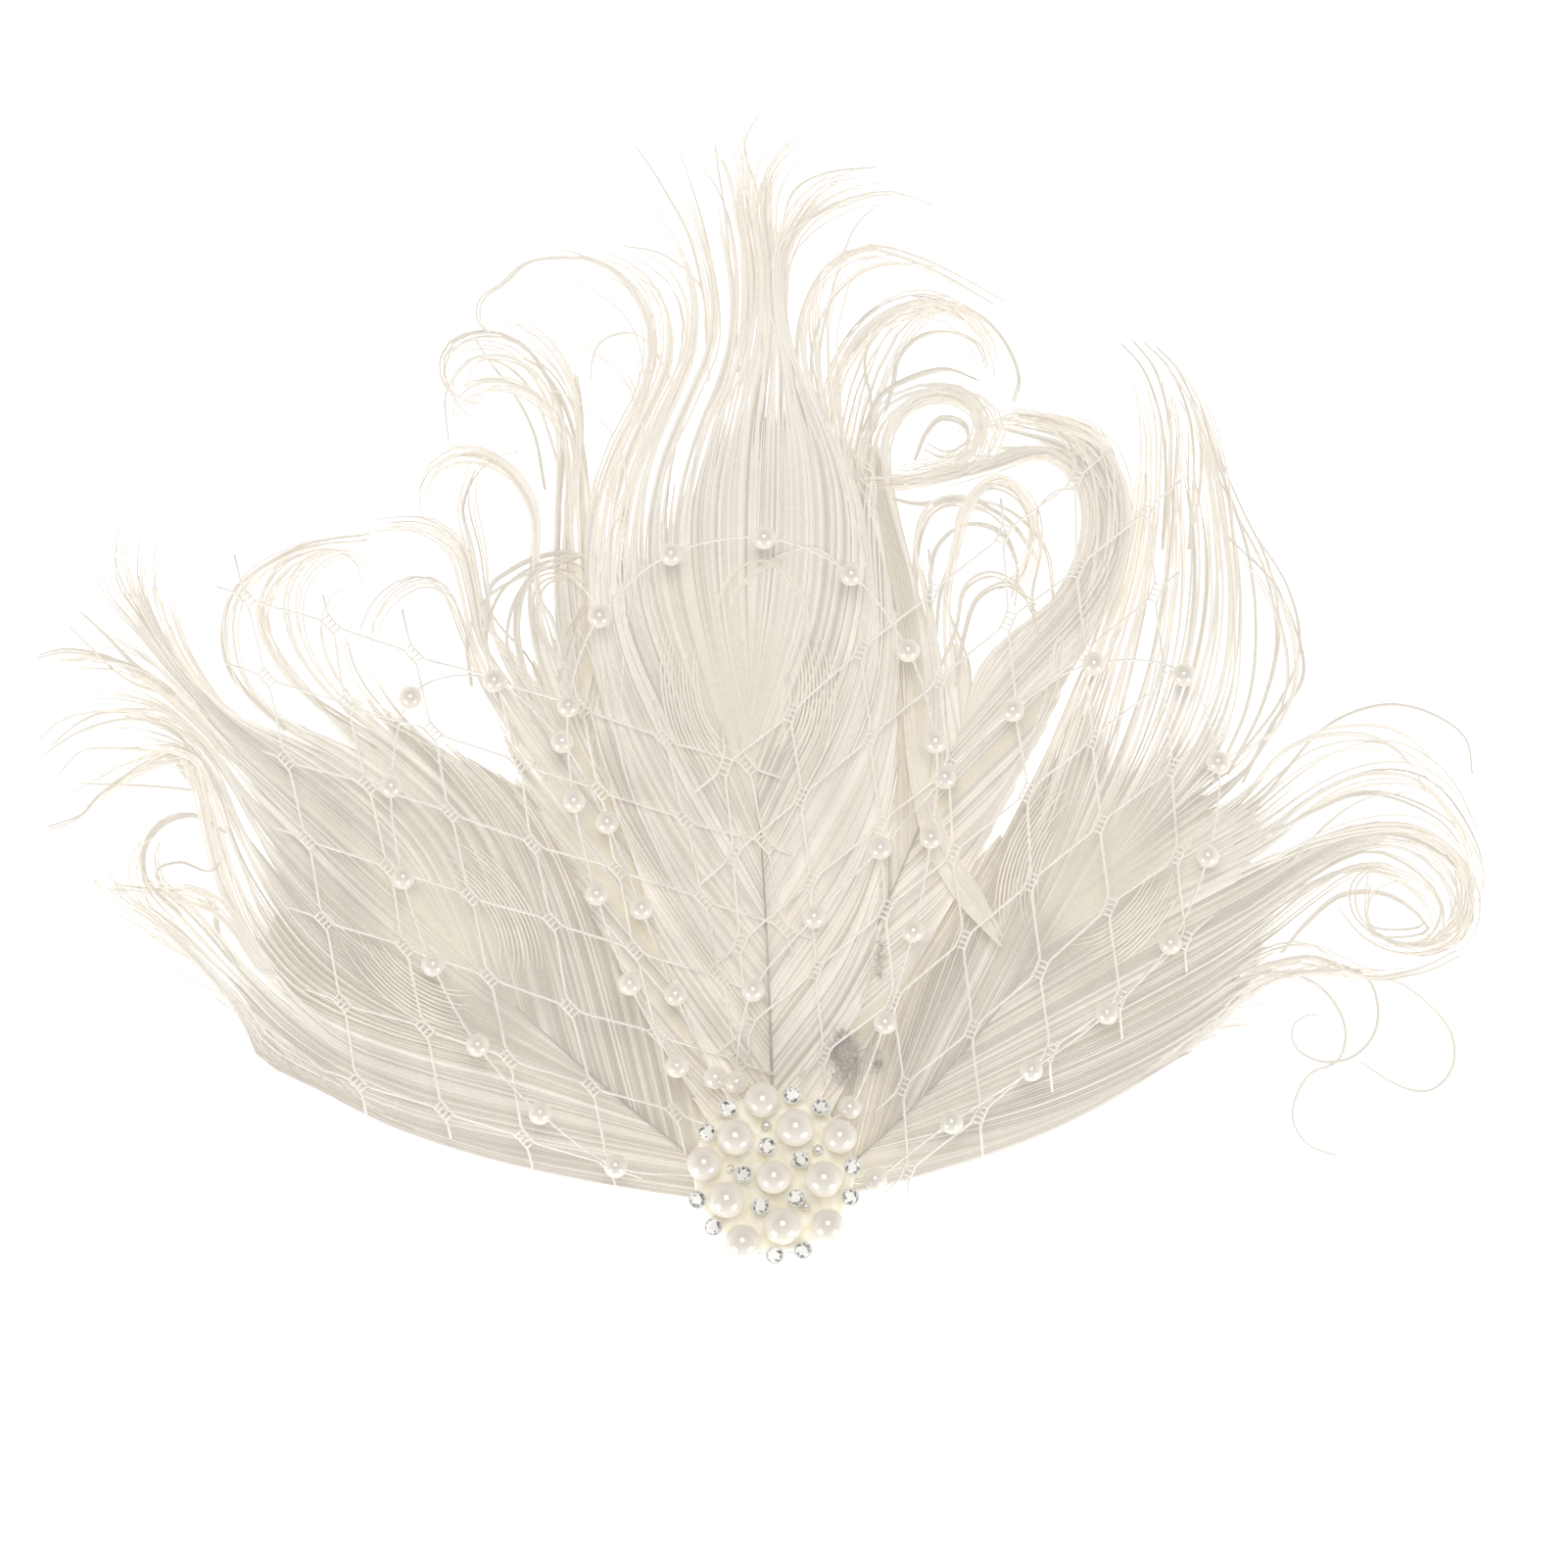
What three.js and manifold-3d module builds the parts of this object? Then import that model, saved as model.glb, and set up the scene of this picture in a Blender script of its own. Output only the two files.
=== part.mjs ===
// A bridal feather fascinator on a hair clip, lying on its back.
// Five bleached peacock feathers fan out from under a pearl brooch, two pieces of
// birdcage net lie over them, and three looped strings of small pearls lie on the net.
// Millimetres. +X is to the right, +Y runs up the middle feather, +Z comes out of the
// front face. The origin is below the brooch's centre, on the clip's flat back.
import * as THREE from "three";
import { mergeVertices } from "three/addons/utils/BufferGeometryUtils.js";
import Module from "manifold-3d";

const wasm = await Module();
wasm.setup();

// Clearance between pieces that are glued or laid on each other
const SEAT_GAP = 0.3;

// Hair clip: one bent strip, a hairpin in side view, with its mouth towards +Y
const CLIP = {
  width: 9,
  height: 7,
  sheet: 1,
  backY: -11,
  bendY: 20,
  mouthY: 34,
  mouthGap: 0.8,
  bowSteps: 8,
};

// Feathers: flat fans of locks on a vane, stacked in layers above the clip
const VANE_THICKNESS = 1;
const LAYER_PITCH = VANE_THICKNESS + 0.4;
const FIRST_LAYER_Z = CLIP.height + SEAT_GAP;
const TOP_LAYER = 4;
const STACK_Z = FIRST_LAYER_Z + TOP_LAYER * LAYER_PITCH + VANE_THICKNESS;
const SAG_STATIONS = [60, 95, 130];
const QUILL = { baseWidth: 2.6, endWidth: 1.4, steps: 3 };
const LOCK = {
  edgeShare: 0.38,
  vaneShare: 0.75,
  startShare: 0.5,
  startFill: 0.3,
  vaneFill: 0.85,
  maxWidth: 10,
  tipWidth: 3.2,
  endWidth: 1.2,
  curlStep: 60,
  curlShrink: 0.65,
};

// Birdcage net: a thread runs beside its neighbour in each knot, and alone between knots
const NET = { thickness: 0.8, strand: 0.9, knotWidth: 1.9, knotLength: 3.8, tail: 6, broochClear: 17 };
const NET_Z = STACK_Z + 0.45;
const NET_LAYER = NET.thickness + SEAT_GAP;
const NET_FALL = { from: 37, to: 78, drop: 5.2 };

// Pearl strings
const BEAD = { radius: 2, sides: 10, bands: 3 };
const THREAD = { diameter: 0.7, sides: 5 };
const STRING_DIP = { inner: 14.2, outer: 18 };

// Brooch: a round plate on a boss, with a cup for each stone
const BROOCH = {
  radius: 13.6,
  bossRadius: 7.5,
  rimLift: 1.6,
  rimThickness: 1.1,
  dome: 1,
  shoulder: 0.6,
  sides: 20,
};
const BROOCH_Z = STACK_Z + SEAT_GAP;
const RIM_Z = BROOCH_Z + BROOCH.rimLift;
const DOME_Z = RIM_Z + BROOCH.rimThickness + BROOCH.dome;
const PEARL = { radius: 3, sides: 10, bands: 6 };
const STONE = { radius: 1.3, table: 0.75, girdle: 0.25, height: 0.9, sides: 8 };
const CUP = { radius: 1.5, foot: 1.2, sides: 6, z: DOME_Z + PEARL.radius - STONE.height };

// One row for each lock of a feather, from the lower left round the tip to the lower right.
// root: share of the quill's length where the lock leaves it. belly, tip: points that the
// lock passes. curl: degrees that its end turns, positive to the left. radius: of that turn.
// axis: way that the feather points, in degrees from +X. sag: how fast it droops from there.
const FEATHERS = [
  {
    name: "feather_left",
    layer: 0,
    axis: 142,
    sag: 0.00096,
    quill: [[4, -10], [-25, 11], [-55, 39]],
    locks: [
      { root: 0.25, belly: [-66, 8], tip: [-108, 46], curl: -150, radius: 5 },
      { root: 0.42, belly: [-74, 23], tip: [-101, 52], curl: -190, radius: 6 },
      { root: 0.6, belly: [-82, 38], tip: [-99, 66], curl: 62, radius: 30 },
      { root: 0.8, belly: [-84, 50], tip: [-103, 78], curl: 45, radius: 28 },
      { root: 1.0, belly: [-82, 62], tip: [-104, 90], curl: -50, radius: 28 },
      { root: 0.85, belly: [-74, 66], tip: [-99, 86], curl: -60, radius: 22 },
      { root: 0.7, belly: [-64, 69], tip: [-91, 86], curl: -140, radius: 15 },
      { root: 0.55, belly: [-52, 67], tip: [-79, 88], curl: -200, radius: 8.5 },
      { root: 0.4, belly: [-37, 53], tip: [-60, 76], curl: -60, radius: 14 },
      { root: 0.28, belly: [-21, 30], tip: [-34, 46], curl: 0, radius: 20 },
    ],
  },
  {
    name: "feather_right",
    layer: 1,
    axis: 50,
    sag: 0.00125,
    quill: [[-4, -10], [25, 12], [53, 49]],
    locks: [
      { root: 0.27, belly: [20, 27], tip: [32, 45], curl: 0, radius: 20 },
      { root: 0.42, belly: [36, 40], tip: [42, 63], curl: 0, radius: 20 },
      { root: 0.58, belly: [50, 62], tip: [62, 100], curl: 22, radius: 90 },
      { root: 0.8, belly: [63, 70], tip: [75, 110], curl: 65, radius: 34 },
      { root: 1.0, belly: [80, 66], tip: [90, 85], curl: 95, radius: 20 },
      { root: 0.86, belly: [74, 54], tip: [92, 75], curl: -130, radius: 16 },
      { root: 0.74, belly: [74, 46], tip: [94, 69], curl: -100, radius: 20 },
      { root: 0.58, belly: [73, 34], tip: [98, 57], curl: -230, radius: 10.5 },
      { root: 0.45, belly: [68, 22], tip: [90, 37], curl: -130, radius: 11 },
      { root: 0.3, belly: [45, 8], tip: [80, 28], curl: 0, radius: 20 },
    ],
  },
  {
    name: "feather_back_left",
    layer: 2,
    axis: 115,
    sag: 0.0006,
    quill: [[3, -8], [-17, 42], [-37, 84]],
    locks: [
      { root: 0.27, belly: [-19, 33], tip: [-32, 50], curl: 0, radius: 20 },
      { root: 0.4, belly: [-36, 60], tip: [-54, 88], curl: 180, radius: 8 },
      { root: 0.52, belly: [-44, 76], tip: [-53, 102], curl: 100, radius: 11 },
      { root: 0.66, belly: [-45, 88], tip: [-44, 112], curl: 170, radius: 9 },
      { root: 0.85, belly: [-40, 104], tip: [-35, 130], curl: 250, radius: 10 },
      { root: 1.0, belly: [-34, 104], tip: [-32, 127], curl: 30, radius: 30 },
      { root: 0.8, belly: [-27, 90], tip: [-27, 110], curl: 0, radius: 20 },
      { root: 0.5, belly: [-19, 62], tip: [-23, 88], curl: 0, radius: 20 },
    ],
  },
  {
    name: "feather_back_right",
    layer: 3,
    axis: 70,
    sag: 0.0006,
    quill: [[-3, -8], [17, 40], [33, 78]],
    locks: [
      { root: 0.4, belly: [14, 55], tip: [16, 95], curl: 0, radius: 20 },
      { root: 0.68, belly: [21, 86], tip: [18, 122], curl: -240, radius: 9.5 },
      { root: 0.85, belly: [18, 98], tip: [10, 129], curl: -175, radius: 14.5 },
      { root: 0.95, belly: [31, 84], tip: [34, 90], curl: 0, radius: 20 },
      { root: 1.0, belly: [44, 95], tip: [58, 110], curl: 165, radius: 12 },
      { root: 0.8, belly: [40, 80], tip: [52, 100], curl: 170, radius: 9 },
      { root: 0.55, belly: [33, 60], tip: [44, 86], curl: 150, radius: 7 },
      { root: 0.3, belly: [19, 34], tip: [31, 52], curl: 0, radius: 20 },
    ],
  },
  {
    name: "feather_middle",
    layer: TOP_LAYER,
    axis: 91,
    sag: 0.00045,
    quill: [[0, -9], [-1, 36], [-4, 80]],
    locks: [
      { root: 0.22, belly: [-11, 25], tip: [-19, 36], curl: 0, radius: 20 },
      { root: 0.35, belly: [-23, 48], tip: [-33, 70], curl: 0, radius: 20 },
      { root: 0.48, belly: [-30, 72], tip: [-32, 106], curl: -20, radius: 40 },
      { root: 0.62, belly: [-28, 98], tip: [-22, 133], curl: 165, radius: 14 },
      { root: 0.76, belly: [-20, 112], tip: [-13, 146], curl: 35, radius: 55 },
      { root: 0.9, belly: [-11, 118], tip: [-4, 150], curl: 15, radius: 110 },
      { root: 1.0, belly: [-1, 118], tip: [0, 158], curl: -50, radius: 28 },
      { root: 0.9, belly: [9, 110], tip: [2, 152], curl: -95, radius: 19 },
      { root: 0.76, belly: [16, 100], tip: [5, 137], curl: -125, radius: 19 },
      { root: 0.62, belly: [19, 88], tip: [11, 124], curl: 0, radius: 20 },
      { root: 0.48, belly: [21, 68], tip: [21, 98], curl: 0, radius: 20 },
      { root: 0.35, belly: [17, 46], tip: [22, 70], curl: 0, radius: 20 },
      { root: 0.22, belly: [11, 25], tip: [18, 36], curl: 0, radius: 20 },
    ],
  },
];

// Knots of each net stand on a slanted lattice. across, along: the steps of that lattice,
// which are the two ways that threads leave a knot. rows: the knots of each step along.
// tails: which end of the lowest knots the cut threads hang from.
const NETS = [
  {
    name: "net_left",
    layer: 0,
    origin: [-89.6, 97.9],
    across: [14.2, -4.8],
    along: [3.2, -13.8],
    tails: { row: 6, side: 1 },
    rows: [
      { first: 0, last: 6 },
      { first: 0, last: 6 },
      { first: 0, last: 6 },
      { first: 0, last: 5 },
      { first: 0, last: 5 },
      { first: 0, last: 4 },
      { first: 0, last: 4 },
    ],
  },
  {
    name: "net_right",
    layer: 1,
    origin: [11.2, -9.6],
    across: [11.8, 9.8],
    along: [-1.3, 14.7],
    tails: { row: 0, side: -1 },
    rows: [
      { first: 1, last: 5 },
      { first: 1, last: 5 },
      { first: 0, last: 5 },
      { first: -1, last: 5 },
      { first: -1, last: 5 },
      { first: -1, last: 5 },
      { first: -1, last: 4 },
    ],
  },
];

// Routes of the pearl strings, from under the brooch, round the loop and back.
// bare: thread before the first bead. pitch: between beads. lift: above the net they lie on.
const STRINGS = [
  {
    name: "pearl_string_left",
    bare: 11,
    pitch: 15.7,
    lift: 0,
    route: [
      [-4, 7.5], [-7.5, 12.8], [-10.2, 16.6], [-17, 31], [-29, 61], [-37, 74.5], [-49, 84], [-61, 81.5],
      [-65, 66], [-63, 50], [-58, 35.5], [-50.5, 22], [-39.5, 10], [-26.5, 1], [-15, -0.5], [-8.5, -1],
    ],
  },
  {
    name: "pearl_string_middle",
    bare: 17,
    pitch: 16.2,
    lift: NET_LAYER + 1.7,
    route: [
      [-5.5, 6.5], [-10, 11], [-17, 19], [-25, 33.5], [-30.5, 49], [-34, 64.5], [-34.5, 81], [-29, 95],
      [-17, 105], [-1, 107.5], [13, 101.5], [23, 88], [27.5, 72], [26.5, 56], [23.5, 40.5],
      [18.5, 24.5], [13.5, 12], [11, 9.8], [6, 6],
    ],
  },
  {
    name: "pearl_string_right",
    bare: 9,
    pitch: 16.2,
    lift: NET_LAYER,
    route: [
      [-2, 8.3], [-5.4, 13.5], [-6.2, 14.6], [-4, 30], [6.5, 43], [18, 55], [28.5, 66.5], [40, 78],
      [53, 86], [69, 85], [75.5, 70], [74, 54.5], [67.5, 39], [56.5, 27], [43, 17], [28.5, 7.5],
      [16.3, -1.6], [14.7, -1.8], [8.5, -2],
    ],
  },
];

// Where the brooch's big pearls and cut stones stand, from its centre
const PEARL_PLACES = [
  [-1.9, 12.4], [-6.5, 6.2], [3.7, 7.8], [11.2, 6.3], [-11.8, 1.7], [0, -0.5],
  [8.5, -0.9], [-8, -4.4], [1.5, -8.8], [9.2, -8.7], [-5.3, -11.6],
];
const STONE_PLACES = [
  [-7.7, 11], [-11.3, 7], [3.1, 13.3], [8, 11.3], [-1.1, 4.7], [-5.1, -0.1], [4.6, 2.4], [13.3, 1.2],
  [-12.9, -4.4], [-2.2, -5.5], [3.8, -4.1], [13, -3.9], [-10.2, -9], [0.2, -13.8], [5, -12.9],
];

// Finishes
const finish = (color, roughness, metalness = 0) =>
  new THREE.MeshStandardMaterial({ color, roughness, metalness });
const FINISHES = {
  feather: finish(0xe4ddd2, 0.85),
  net: finish(0xf3ecdf, 0.7),
  beads: finish(0xf1e9e0, 0.25),
  pearl: finish(0xf0e8e2, 0.18),
  crystal: finish(0xeef1f3, 0.05),
  setting: finish(0xe9e4c6, 0.35, 0.6),
  clip: finish(0xc9c9c9, 0.3, 1),
};

const fascinator = new THREE.Group();

function addPiece(name, geometry, material, position = [0, 0, 0]) {
  const mesh = new THREE.Mesh(geometry, material);
  mesh.name = name;
  mesh.position.set(...position);
  fascinator.add(mesh);
}

// Joining and cutting

function toSolid(geometry) {
  const bare = geometry.clone();
  bare.deleteAttribute("normal");
  bare.deleteAttribute("uv");
  const merged = mergeVertices(bare, 1e-4);
  return new wasm.Manifold(
    new wasm.Mesh({
      numProp: 3,
      vertProperties: new Float32Array(merged.attributes.position.array),
      triVerts: new Uint32Array(merged.index.array),
    }),
  );
}

function toGeometry(solid) {
  const { vertProperties, triVerts } = solid.getMesh();
  return new THREE.BufferGeometry()
    .setAttribute("position", new THREE.BufferAttribute(new Float32Array(vertProperties), 3))
    .setIndex(new THREE.BufferAttribute(new Uint32Array(triVerts), 1));
}

const fuse = (geometries) => wasm.Manifold.union(geometries.map(toSolid));

// Plane figures

const point = ([x, y]) => new THREE.Vector2(x, y);
const turned = (vector, angle) => vector.clone().rotateAround(new THREE.Vector2(), angle);
const plate = (corners, depth) =>
  new THREE.ExtrudeGeometry(new THREE.Shape(corners), { depth, bevelEnabled: false });

// A curve from start to end that passes middle half way.
function curveThrough(start, middle, end) {
  const control = middle.clone().multiplyScalar(2).sub(start.clone().add(end).multiplyScalar(0.5));
  return new THREE.QuadraticBezierCurve(start, control, end);
}

// Corners of a flat strip along a path, widths giving its width at each point.
function stripCorners(path, widths) {
  const left = [];
  const right = [];
  path.forEach((place, k) => {
    const ahead = path[Math.min(k + 1, path.length - 1)];
    const behind = path[Math.max(k - 1, 0)];
    const across = turned(ahead.clone().sub(behind).normalize(), Math.PI / 2);
    left.unshift(place.clone().addScaledVector(across, widths[k] / 2));
    right.push(place.clone().addScaledVector(across, -widths[k] / 2));
  });
  return [...right, ...left];
}

// Moves each side of a polygon inwards by its own distance.
function inset(corners, distances) {
  const inward = Math.sign(THREE.ShapeUtils.area(corners)) * (Math.PI / 2);
  const sides = corners.map((corner, k) => {
    const way = corners[(k + 1) % corners.length].clone().sub(corner).normalize();
    return { from: corner.clone().addScaledVector(turned(way, inward), distances[k]), way };
  });
  return sides.map((side, k) => {
    const before = sides.at(k - 1);
    const share = side.from.clone().sub(before.from).cross(side.way) / before.way.cross(side.way);
    return before.from.clone().addScaledVector(before.way, share);
  });
}

// Feathers

const stemOf = (quill, lock) => curveThrough(quill.getPoint(lock.root), point(lock.belly), point(lock.tip));

// Points of the turning end of a lock, its radius shrinking on the way.
function curlPath(stem, lock) {
  const path = [];
  const steps = Math.ceil(Math.abs(lock.curl) / LOCK.curlStep);
  const turn = THREE.MathUtils.degToRad(lock.curl / steps);
  let way = stem.getTangent(1);
  let place = stem.getPoint(1);
  for (let k = 0; k < steps; k++) {
    const radius = lock.radius * THREE.MathUtils.lerp(1, LOCK.curlShrink, k / steps);
    const chord = 2 * radius * Math.sin(Math.abs(turn) / 2);
    place = place.clone().addScaledVector(turned(way, turn / 2), chord);
    way = turned(way, turn);
    path.push(place);
  }
  return path;
}

// A lock as a strip: widest where it leaves the vane, slim at its tip and along its curl.
function lockPlate(quill, lock, neighbours) {
  const stem = stemOf(quill, lock);
  const apart = neighbours.map((other) => point(other.belly).distanceTo(point(lock.belly)));
  const widest = Math.min(LOCK.maxWidth, LOCK.vaneFill * Math.max(...apart));
  const half = THREE.MathUtils.lerp(LOCK.vaneShare, 1, 0.5);
  const path = [LOCK.startShare, LOCK.vaneShare, half, 1].map((share) => stem.getPoint(share));
  const widths = [LOCK.startFill * widest, widest, (widest + LOCK.tipWidth) / 2, LOCK.tipWidth];
  const curl = curlPath(stem, lock);
  curl.forEach((place, k) => {
    path.push(place);
    widths.push(THREE.MathUtils.lerp(LOCK.tipWidth, LOCK.endWidth, (k + 1) / curl.length));
  });
  return plate(stripCorners(path, widths), VANE_THICKNESS);
}

// The vane's outline: from the quill along the first lock, over all the locks, back down the last.
function vanePlate(quill, locks) {
  const stems = locks.map((lock) => stemOf(quill, lock));
  const rim = stems.map((stem) => stem.getPoint(LOCK.vaneShare));
  const [first, last] = [stems[0], stems.at(-1)].map((stem) => stem.getPoint(LOCK.edgeShare));
  const [start, end] = [stems[0], stems.at(-1)].map((stem) => stem.getPoint(0));
  return plate([start, first, ...rim, last, end].reverse(), VANE_THICKNESS);
}

function quillPlate(quill) {
  const widths = Array.from({ length: QUILL.steps + 1 }, (_, k) =>
    THREE.MathUtils.lerp(QUILL.baseWidth, QUILL.endWidth, k / QUILL.steps),
  );
  return plate(stripCorners(quill.getPoints(QUILL.steps), widths), VANE_THICKNESS);
}

// Splits the triangles that cross a crease, where offset(point) is zero, so that a flat fan
// can be bent there. The new point on an edge that two triangles share is made once.
function crease(points, faces, offset) {
  const made = new Map();
  const onEdge = (a, b) => {
    const key = `${Math.min(a, b)} ${Math.max(a, b)}`;
    if (!made.has(key)) {
      const share = offset(points[a]) / (offset(points[a]) - offset(points[b]));
      made.set(key, points.push(points[a].clone().lerp(points[b], share)) - 1);
    }
    return made.get(key);
  };
  return faces.flatMap((face) => {
    const sides = face.map((vertex) => Math.sign(offset(points[vertex])));
    const opposite = (k, other) => sides[k] === -sides[other % 3];
    const alone = [0, 1, 2].find((k) => opposite(k, k + 1) && opposite(k, k + 2));
    if (alone === undefined || sides[alone] === 0) return [face];
    const [a, b, c] = [0, 1, 2].map((k) => face[(alone + k) % 3]);
    const [ab, ac] = [onEdge(a, b), onEdge(a, c)];
    return [[a, ab, ac], [ab, b, c], [ab, c, ac]];
  });
}

// Bends a flat fan down along its axis, straight between the sag stations.
function bend(geometry, { axis, sag }) {
  const angle = THREE.MathUtils.degToRad(axis);
  const along = (place) => place.x * Math.cos(angle) + place.y * Math.sin(angle);
  const drop = (station) => -sag * (station - SAG_STATIONS[0]) ** 2;
  const points = [];
  const positions = geometry.attributes.position;
  for (let k = 0; k < positions.count; k++) {
    points.push(new THREE.Vector3().fromBufferAttribute(positions, k));
  }
  let faces = [];
  for (let k = 0; k < geometry.index.count; k += 3) {
    faces.push([...geometry.index.array.subarray(k, k + 3)]);
  }
  for (const station of SAG_STATIONS.slice(0, -1)) {
    faces = crease(points, faces, (place) => along(place) - station);
  }
  for (const place of points) {
    const u = along(place);
    const next = SAG_STATIONS.findIndex((station) => u < station);
    if (next === 0) continue;
    const [inner, outer] = SAG_STATIONS.slice(next < 0 ? -2 : next - 1);
    place.z += THREE.MathUtils.mapLinear(u, inner, outer, drop(inner), drop(outer));
  }
  return new THREE.BufferGeometry().setFromPoints(points).setIndex(faces.flat());
}

for (const feather of FEATHERS) {
  const quill = curveThrough(...feather.quill.map(point));
  const locks = feather.locks.map((lock, k, all) =>
    lockPlate(quill, lock, [all[k - 1], all[k + 1]].filter(Boolean)),
  );
  const flat = toGeometry(fuse([quillPlate(quill), vanePlate(quill, feather.locks), ...locks]));
  addPiece(feather.name, bend(flat, feather), FINISHES.feather, [
    0,
    0,
    FIRST_LAYER_Z + feather.layer * LAYER_PITCH,
  ]);
}

// Nets

// Underside of the lower net: flat over the middle feather, falling to the outer ones.
function netHeight(x) {
  const fall = THREE.MathUtils.smoothstep(Math.abs(x), NET_FALL.from, NET_FALL.to);
  return NET_Z - NET_FALL.drop * fall;
}

function knotsOf(net) {
  const across = point(net.across);
  const along = point(net.along);
  const lean = across.clone().normalize().add(along.clone().normalize()).setLength(NET.knotLength / 2);
  return net.rows.map(({ first, last }, row) => {
    const knots = new Map();
    for (let k = first; k <= last; k++) {
      const centre = point(net.origin).addScaledVector(across, k).addScaledVector(along, row);
      knots.set(k, { start: centre.clone().sub(lean), end: centre.clone().add(lean) });
    }
    return knots;
  });
}

// Each mesh of the net has a knot at its four corners, and two of its six sides run along knots.
function meshesOf(rows) {
  const meshes = [];
  rows.slice(1).forEach((next, row) => {
    for (const [k, near] of rows[row]) {
      const knots = [near, rows[row].get(k + 1), next.get(k + 1), next.get(k)];
      if (knots.includes(undefined)) continue;
      const [, right, far, ahead] = knots;
      const corners = [near.end, right.start, right.end, far.start, ahead.end, ahead.start];
      if (corners.every((corner) => corner.length() > NET.broochClear)) meshes.push({ corners, knots });
    }
  });
  return meshes;
}

function tailsOf(net, row, meshes) {
  const way = point(net.along).setLength(NET.tail * net.tails.side);
  const held = [...row.values()].filter((knot) => meshes.some(({ knots }) => knots.includes(knot)));
  return held.map(({ start, end }) => {
    const [from, through] = net.tails.side > 0 ? [start, end] : [end, start];
    const path = [from, through, through.clone().add(way)];
    return plate(stripCorners(path, path.map(() => NET.strand)), NET.thickness);
  });
}

// Corners round the whole net: the sides that belong to one mesh alone, in order.
function rimOf(meshes) {
  const ahead = new Map();
  for (const { corners } of meshes) {
    corners.forEach((corner, k) => {
      const next = corners[(k + 1) % corners.length];
      ahead.set(corner, [...(ahead.get(corner) ?? []), next]);
    });
  }
  const outerNext = (corner) => ahead.get(corner)?.find((next) => !ahead.get(next).includes(corner));
  const rim = [[...ahead.keys()].find(outerNext)];
  while (outerNext(rim.at(-1)) !== rim[0]) rim.push(outerNext(rim.at(-1)));
  return rim;
}

function netGeometry(net) {
  const rows = knotsOf(net);
  const meshes = meshesOf(rows);
  const rim = rimOf(meshes);
  const [strand, knot] = [NET.strand / 2, NET.knotWidth / 2];
  const halves = [strand, knot, strand, strand, knot, strand];
  const sheet = new THREE.Shape(inset(rim, rim.map(() => -strand)));
  sheet.holes = meshes.map(({ corners }) => new THREE.Path(inset(corners, halves).reverse()));
  const netting = new THREE.ExtrudeGeometry(sheet, { depth: NET.thickness, bevelEnabled: false });
  const flat = toGeometry(fuse([netting, ...tailsOf(net, rows[net.tails.row], meshes)]));
  const positions = flat.attributes.position;
  for (let k = 0; k < positions.count; k++) {
    positions.setZ(k, positions.getZ(k) + netHeight(positions.getX(k)));
  }
  return flat;
}

for (const net of NETS) {
  addPiece(net.name, netGeometry(net), FINISHES.net, [0, 0, net.layer * NET_LAYER]);
}

// Pearl strings

// A string lies on the net and dips under the brooch's rim at both ends.
function stringPoint([x, y], lift) {
  const onNet = netHeight(x) + NET.thickness + SEAT_GAP + BEAD.radius + lift;
  const underRim = BROOCH_Z + BROOCH.rimLift / 2;
  const out = THREE.MathUtils.smoothstep(Math.hypot(x, y), STRING_DIP.inner, STRING_DIP.outer);
  return new THREE.Vector3(x, y, THREE.MathUtils.lerp(underRim, onNet, out));
}

// Thread from one place to the next.
function threadBetween(from, to) {
  const { diameter, sides } = THREAD;
  const piece = new THREE.CylinderGeometry(diameter / 2, diameter / 2, from.distanceTo(to), sides);
  const way = to.clone().sub(from).normalize();
  const turn = new THREE.Quaternion().setFromUnitVectors(new THREE.Vector3(0, 1, 0), way);
  return piece.applyQuaternion(turn).translate(...from.clone().lerp(to, 0.5));
}

function stringGeometry({ route, bare, pitch, lift }) {
  const points = route.map((place) => stringPoint(place, lift));
  const curve = new THREE.CatmullRomCurve3(points, false, "centripetal");
  const length = curve.getLength();
  const places = [];
  for (let along = bare; along < length - pitch / 2; along += pitch) {
    places.push(curve.getPointAt(along / length));
  }
  const beads = places.map((place) => {
    const bead = new THREE.SphereGeometry(BEAD.radius, BEAD.sides, BEAD.bands);
    return bead.rotateX(Math.PI / 2).translate(...place);
  });
  const stops = [...points.slice(0, 2), ...places, ...points.slice(-2)];
  const thread = stops.slice(1).map((stop, k) => threadBetween(stops[k], stop));
  return toGeometry(fuse([...thread, ...beads]));
}

for (const string of STRINGS) {
  addPiece(string.name, stringGeometry(string), FINISHES.beads);
}

// Brooch

const domeHeight = (x, y) => DOME_Z - BROOCH.dome * (Math.hypot(x, y) / BROOCH.radius) ** 2;

const turnedPiece = (profile, sides) =>
  new THREE.LatheGeometry(profile.map(point), sides).rotateX(Math.PI / 2);

function settingGeometry() {
  const shoulder = BROOCH.radius * BROOCH.shoulder;
  const body = turnedPiece(
    [
      [0, BROOCH_Z],
      [BROOCH.bossRadius, BROOCH_Z],
      [BROOCH.bossRadius, RIM_Z],
      [BROOCH.radius, RIM_Z],
      [BROOCH.radius, domeHeight(BROOCH.radius, 0)],
      [shoulder, domeHeight(shoulder, 0)],
      [0, DOME_Z],
    ],
    BROOCH.sides,
  );
  const height = CUP.z - RIM_Z;
  const cups = STONE_PLACES.map(([x, y]) => {
    const cup = new THREE.CylinderGeometry(CUP.radius, CUP.foot, height, CUP.sides);
    return cup.rotateX(Math.PI / 2).translate(x, y, RIM_Z + height / 2);
  });
  return toGeometry(fuse([body, ...cups]));
}

function stoneGeometry() {
  const profile = [
    [0, 0],
    [STONE.radius, 0],
    [STONE.radius, STONE.girdle],
    [STONE.table, STONE.height],
    [0, STONE.height],
  ];
  return turnedPiece(profile, STONE.sides);
}

const numbered = (name, k) => `${name}_${String(k + 1).padStart(2, "0")}`;

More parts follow.
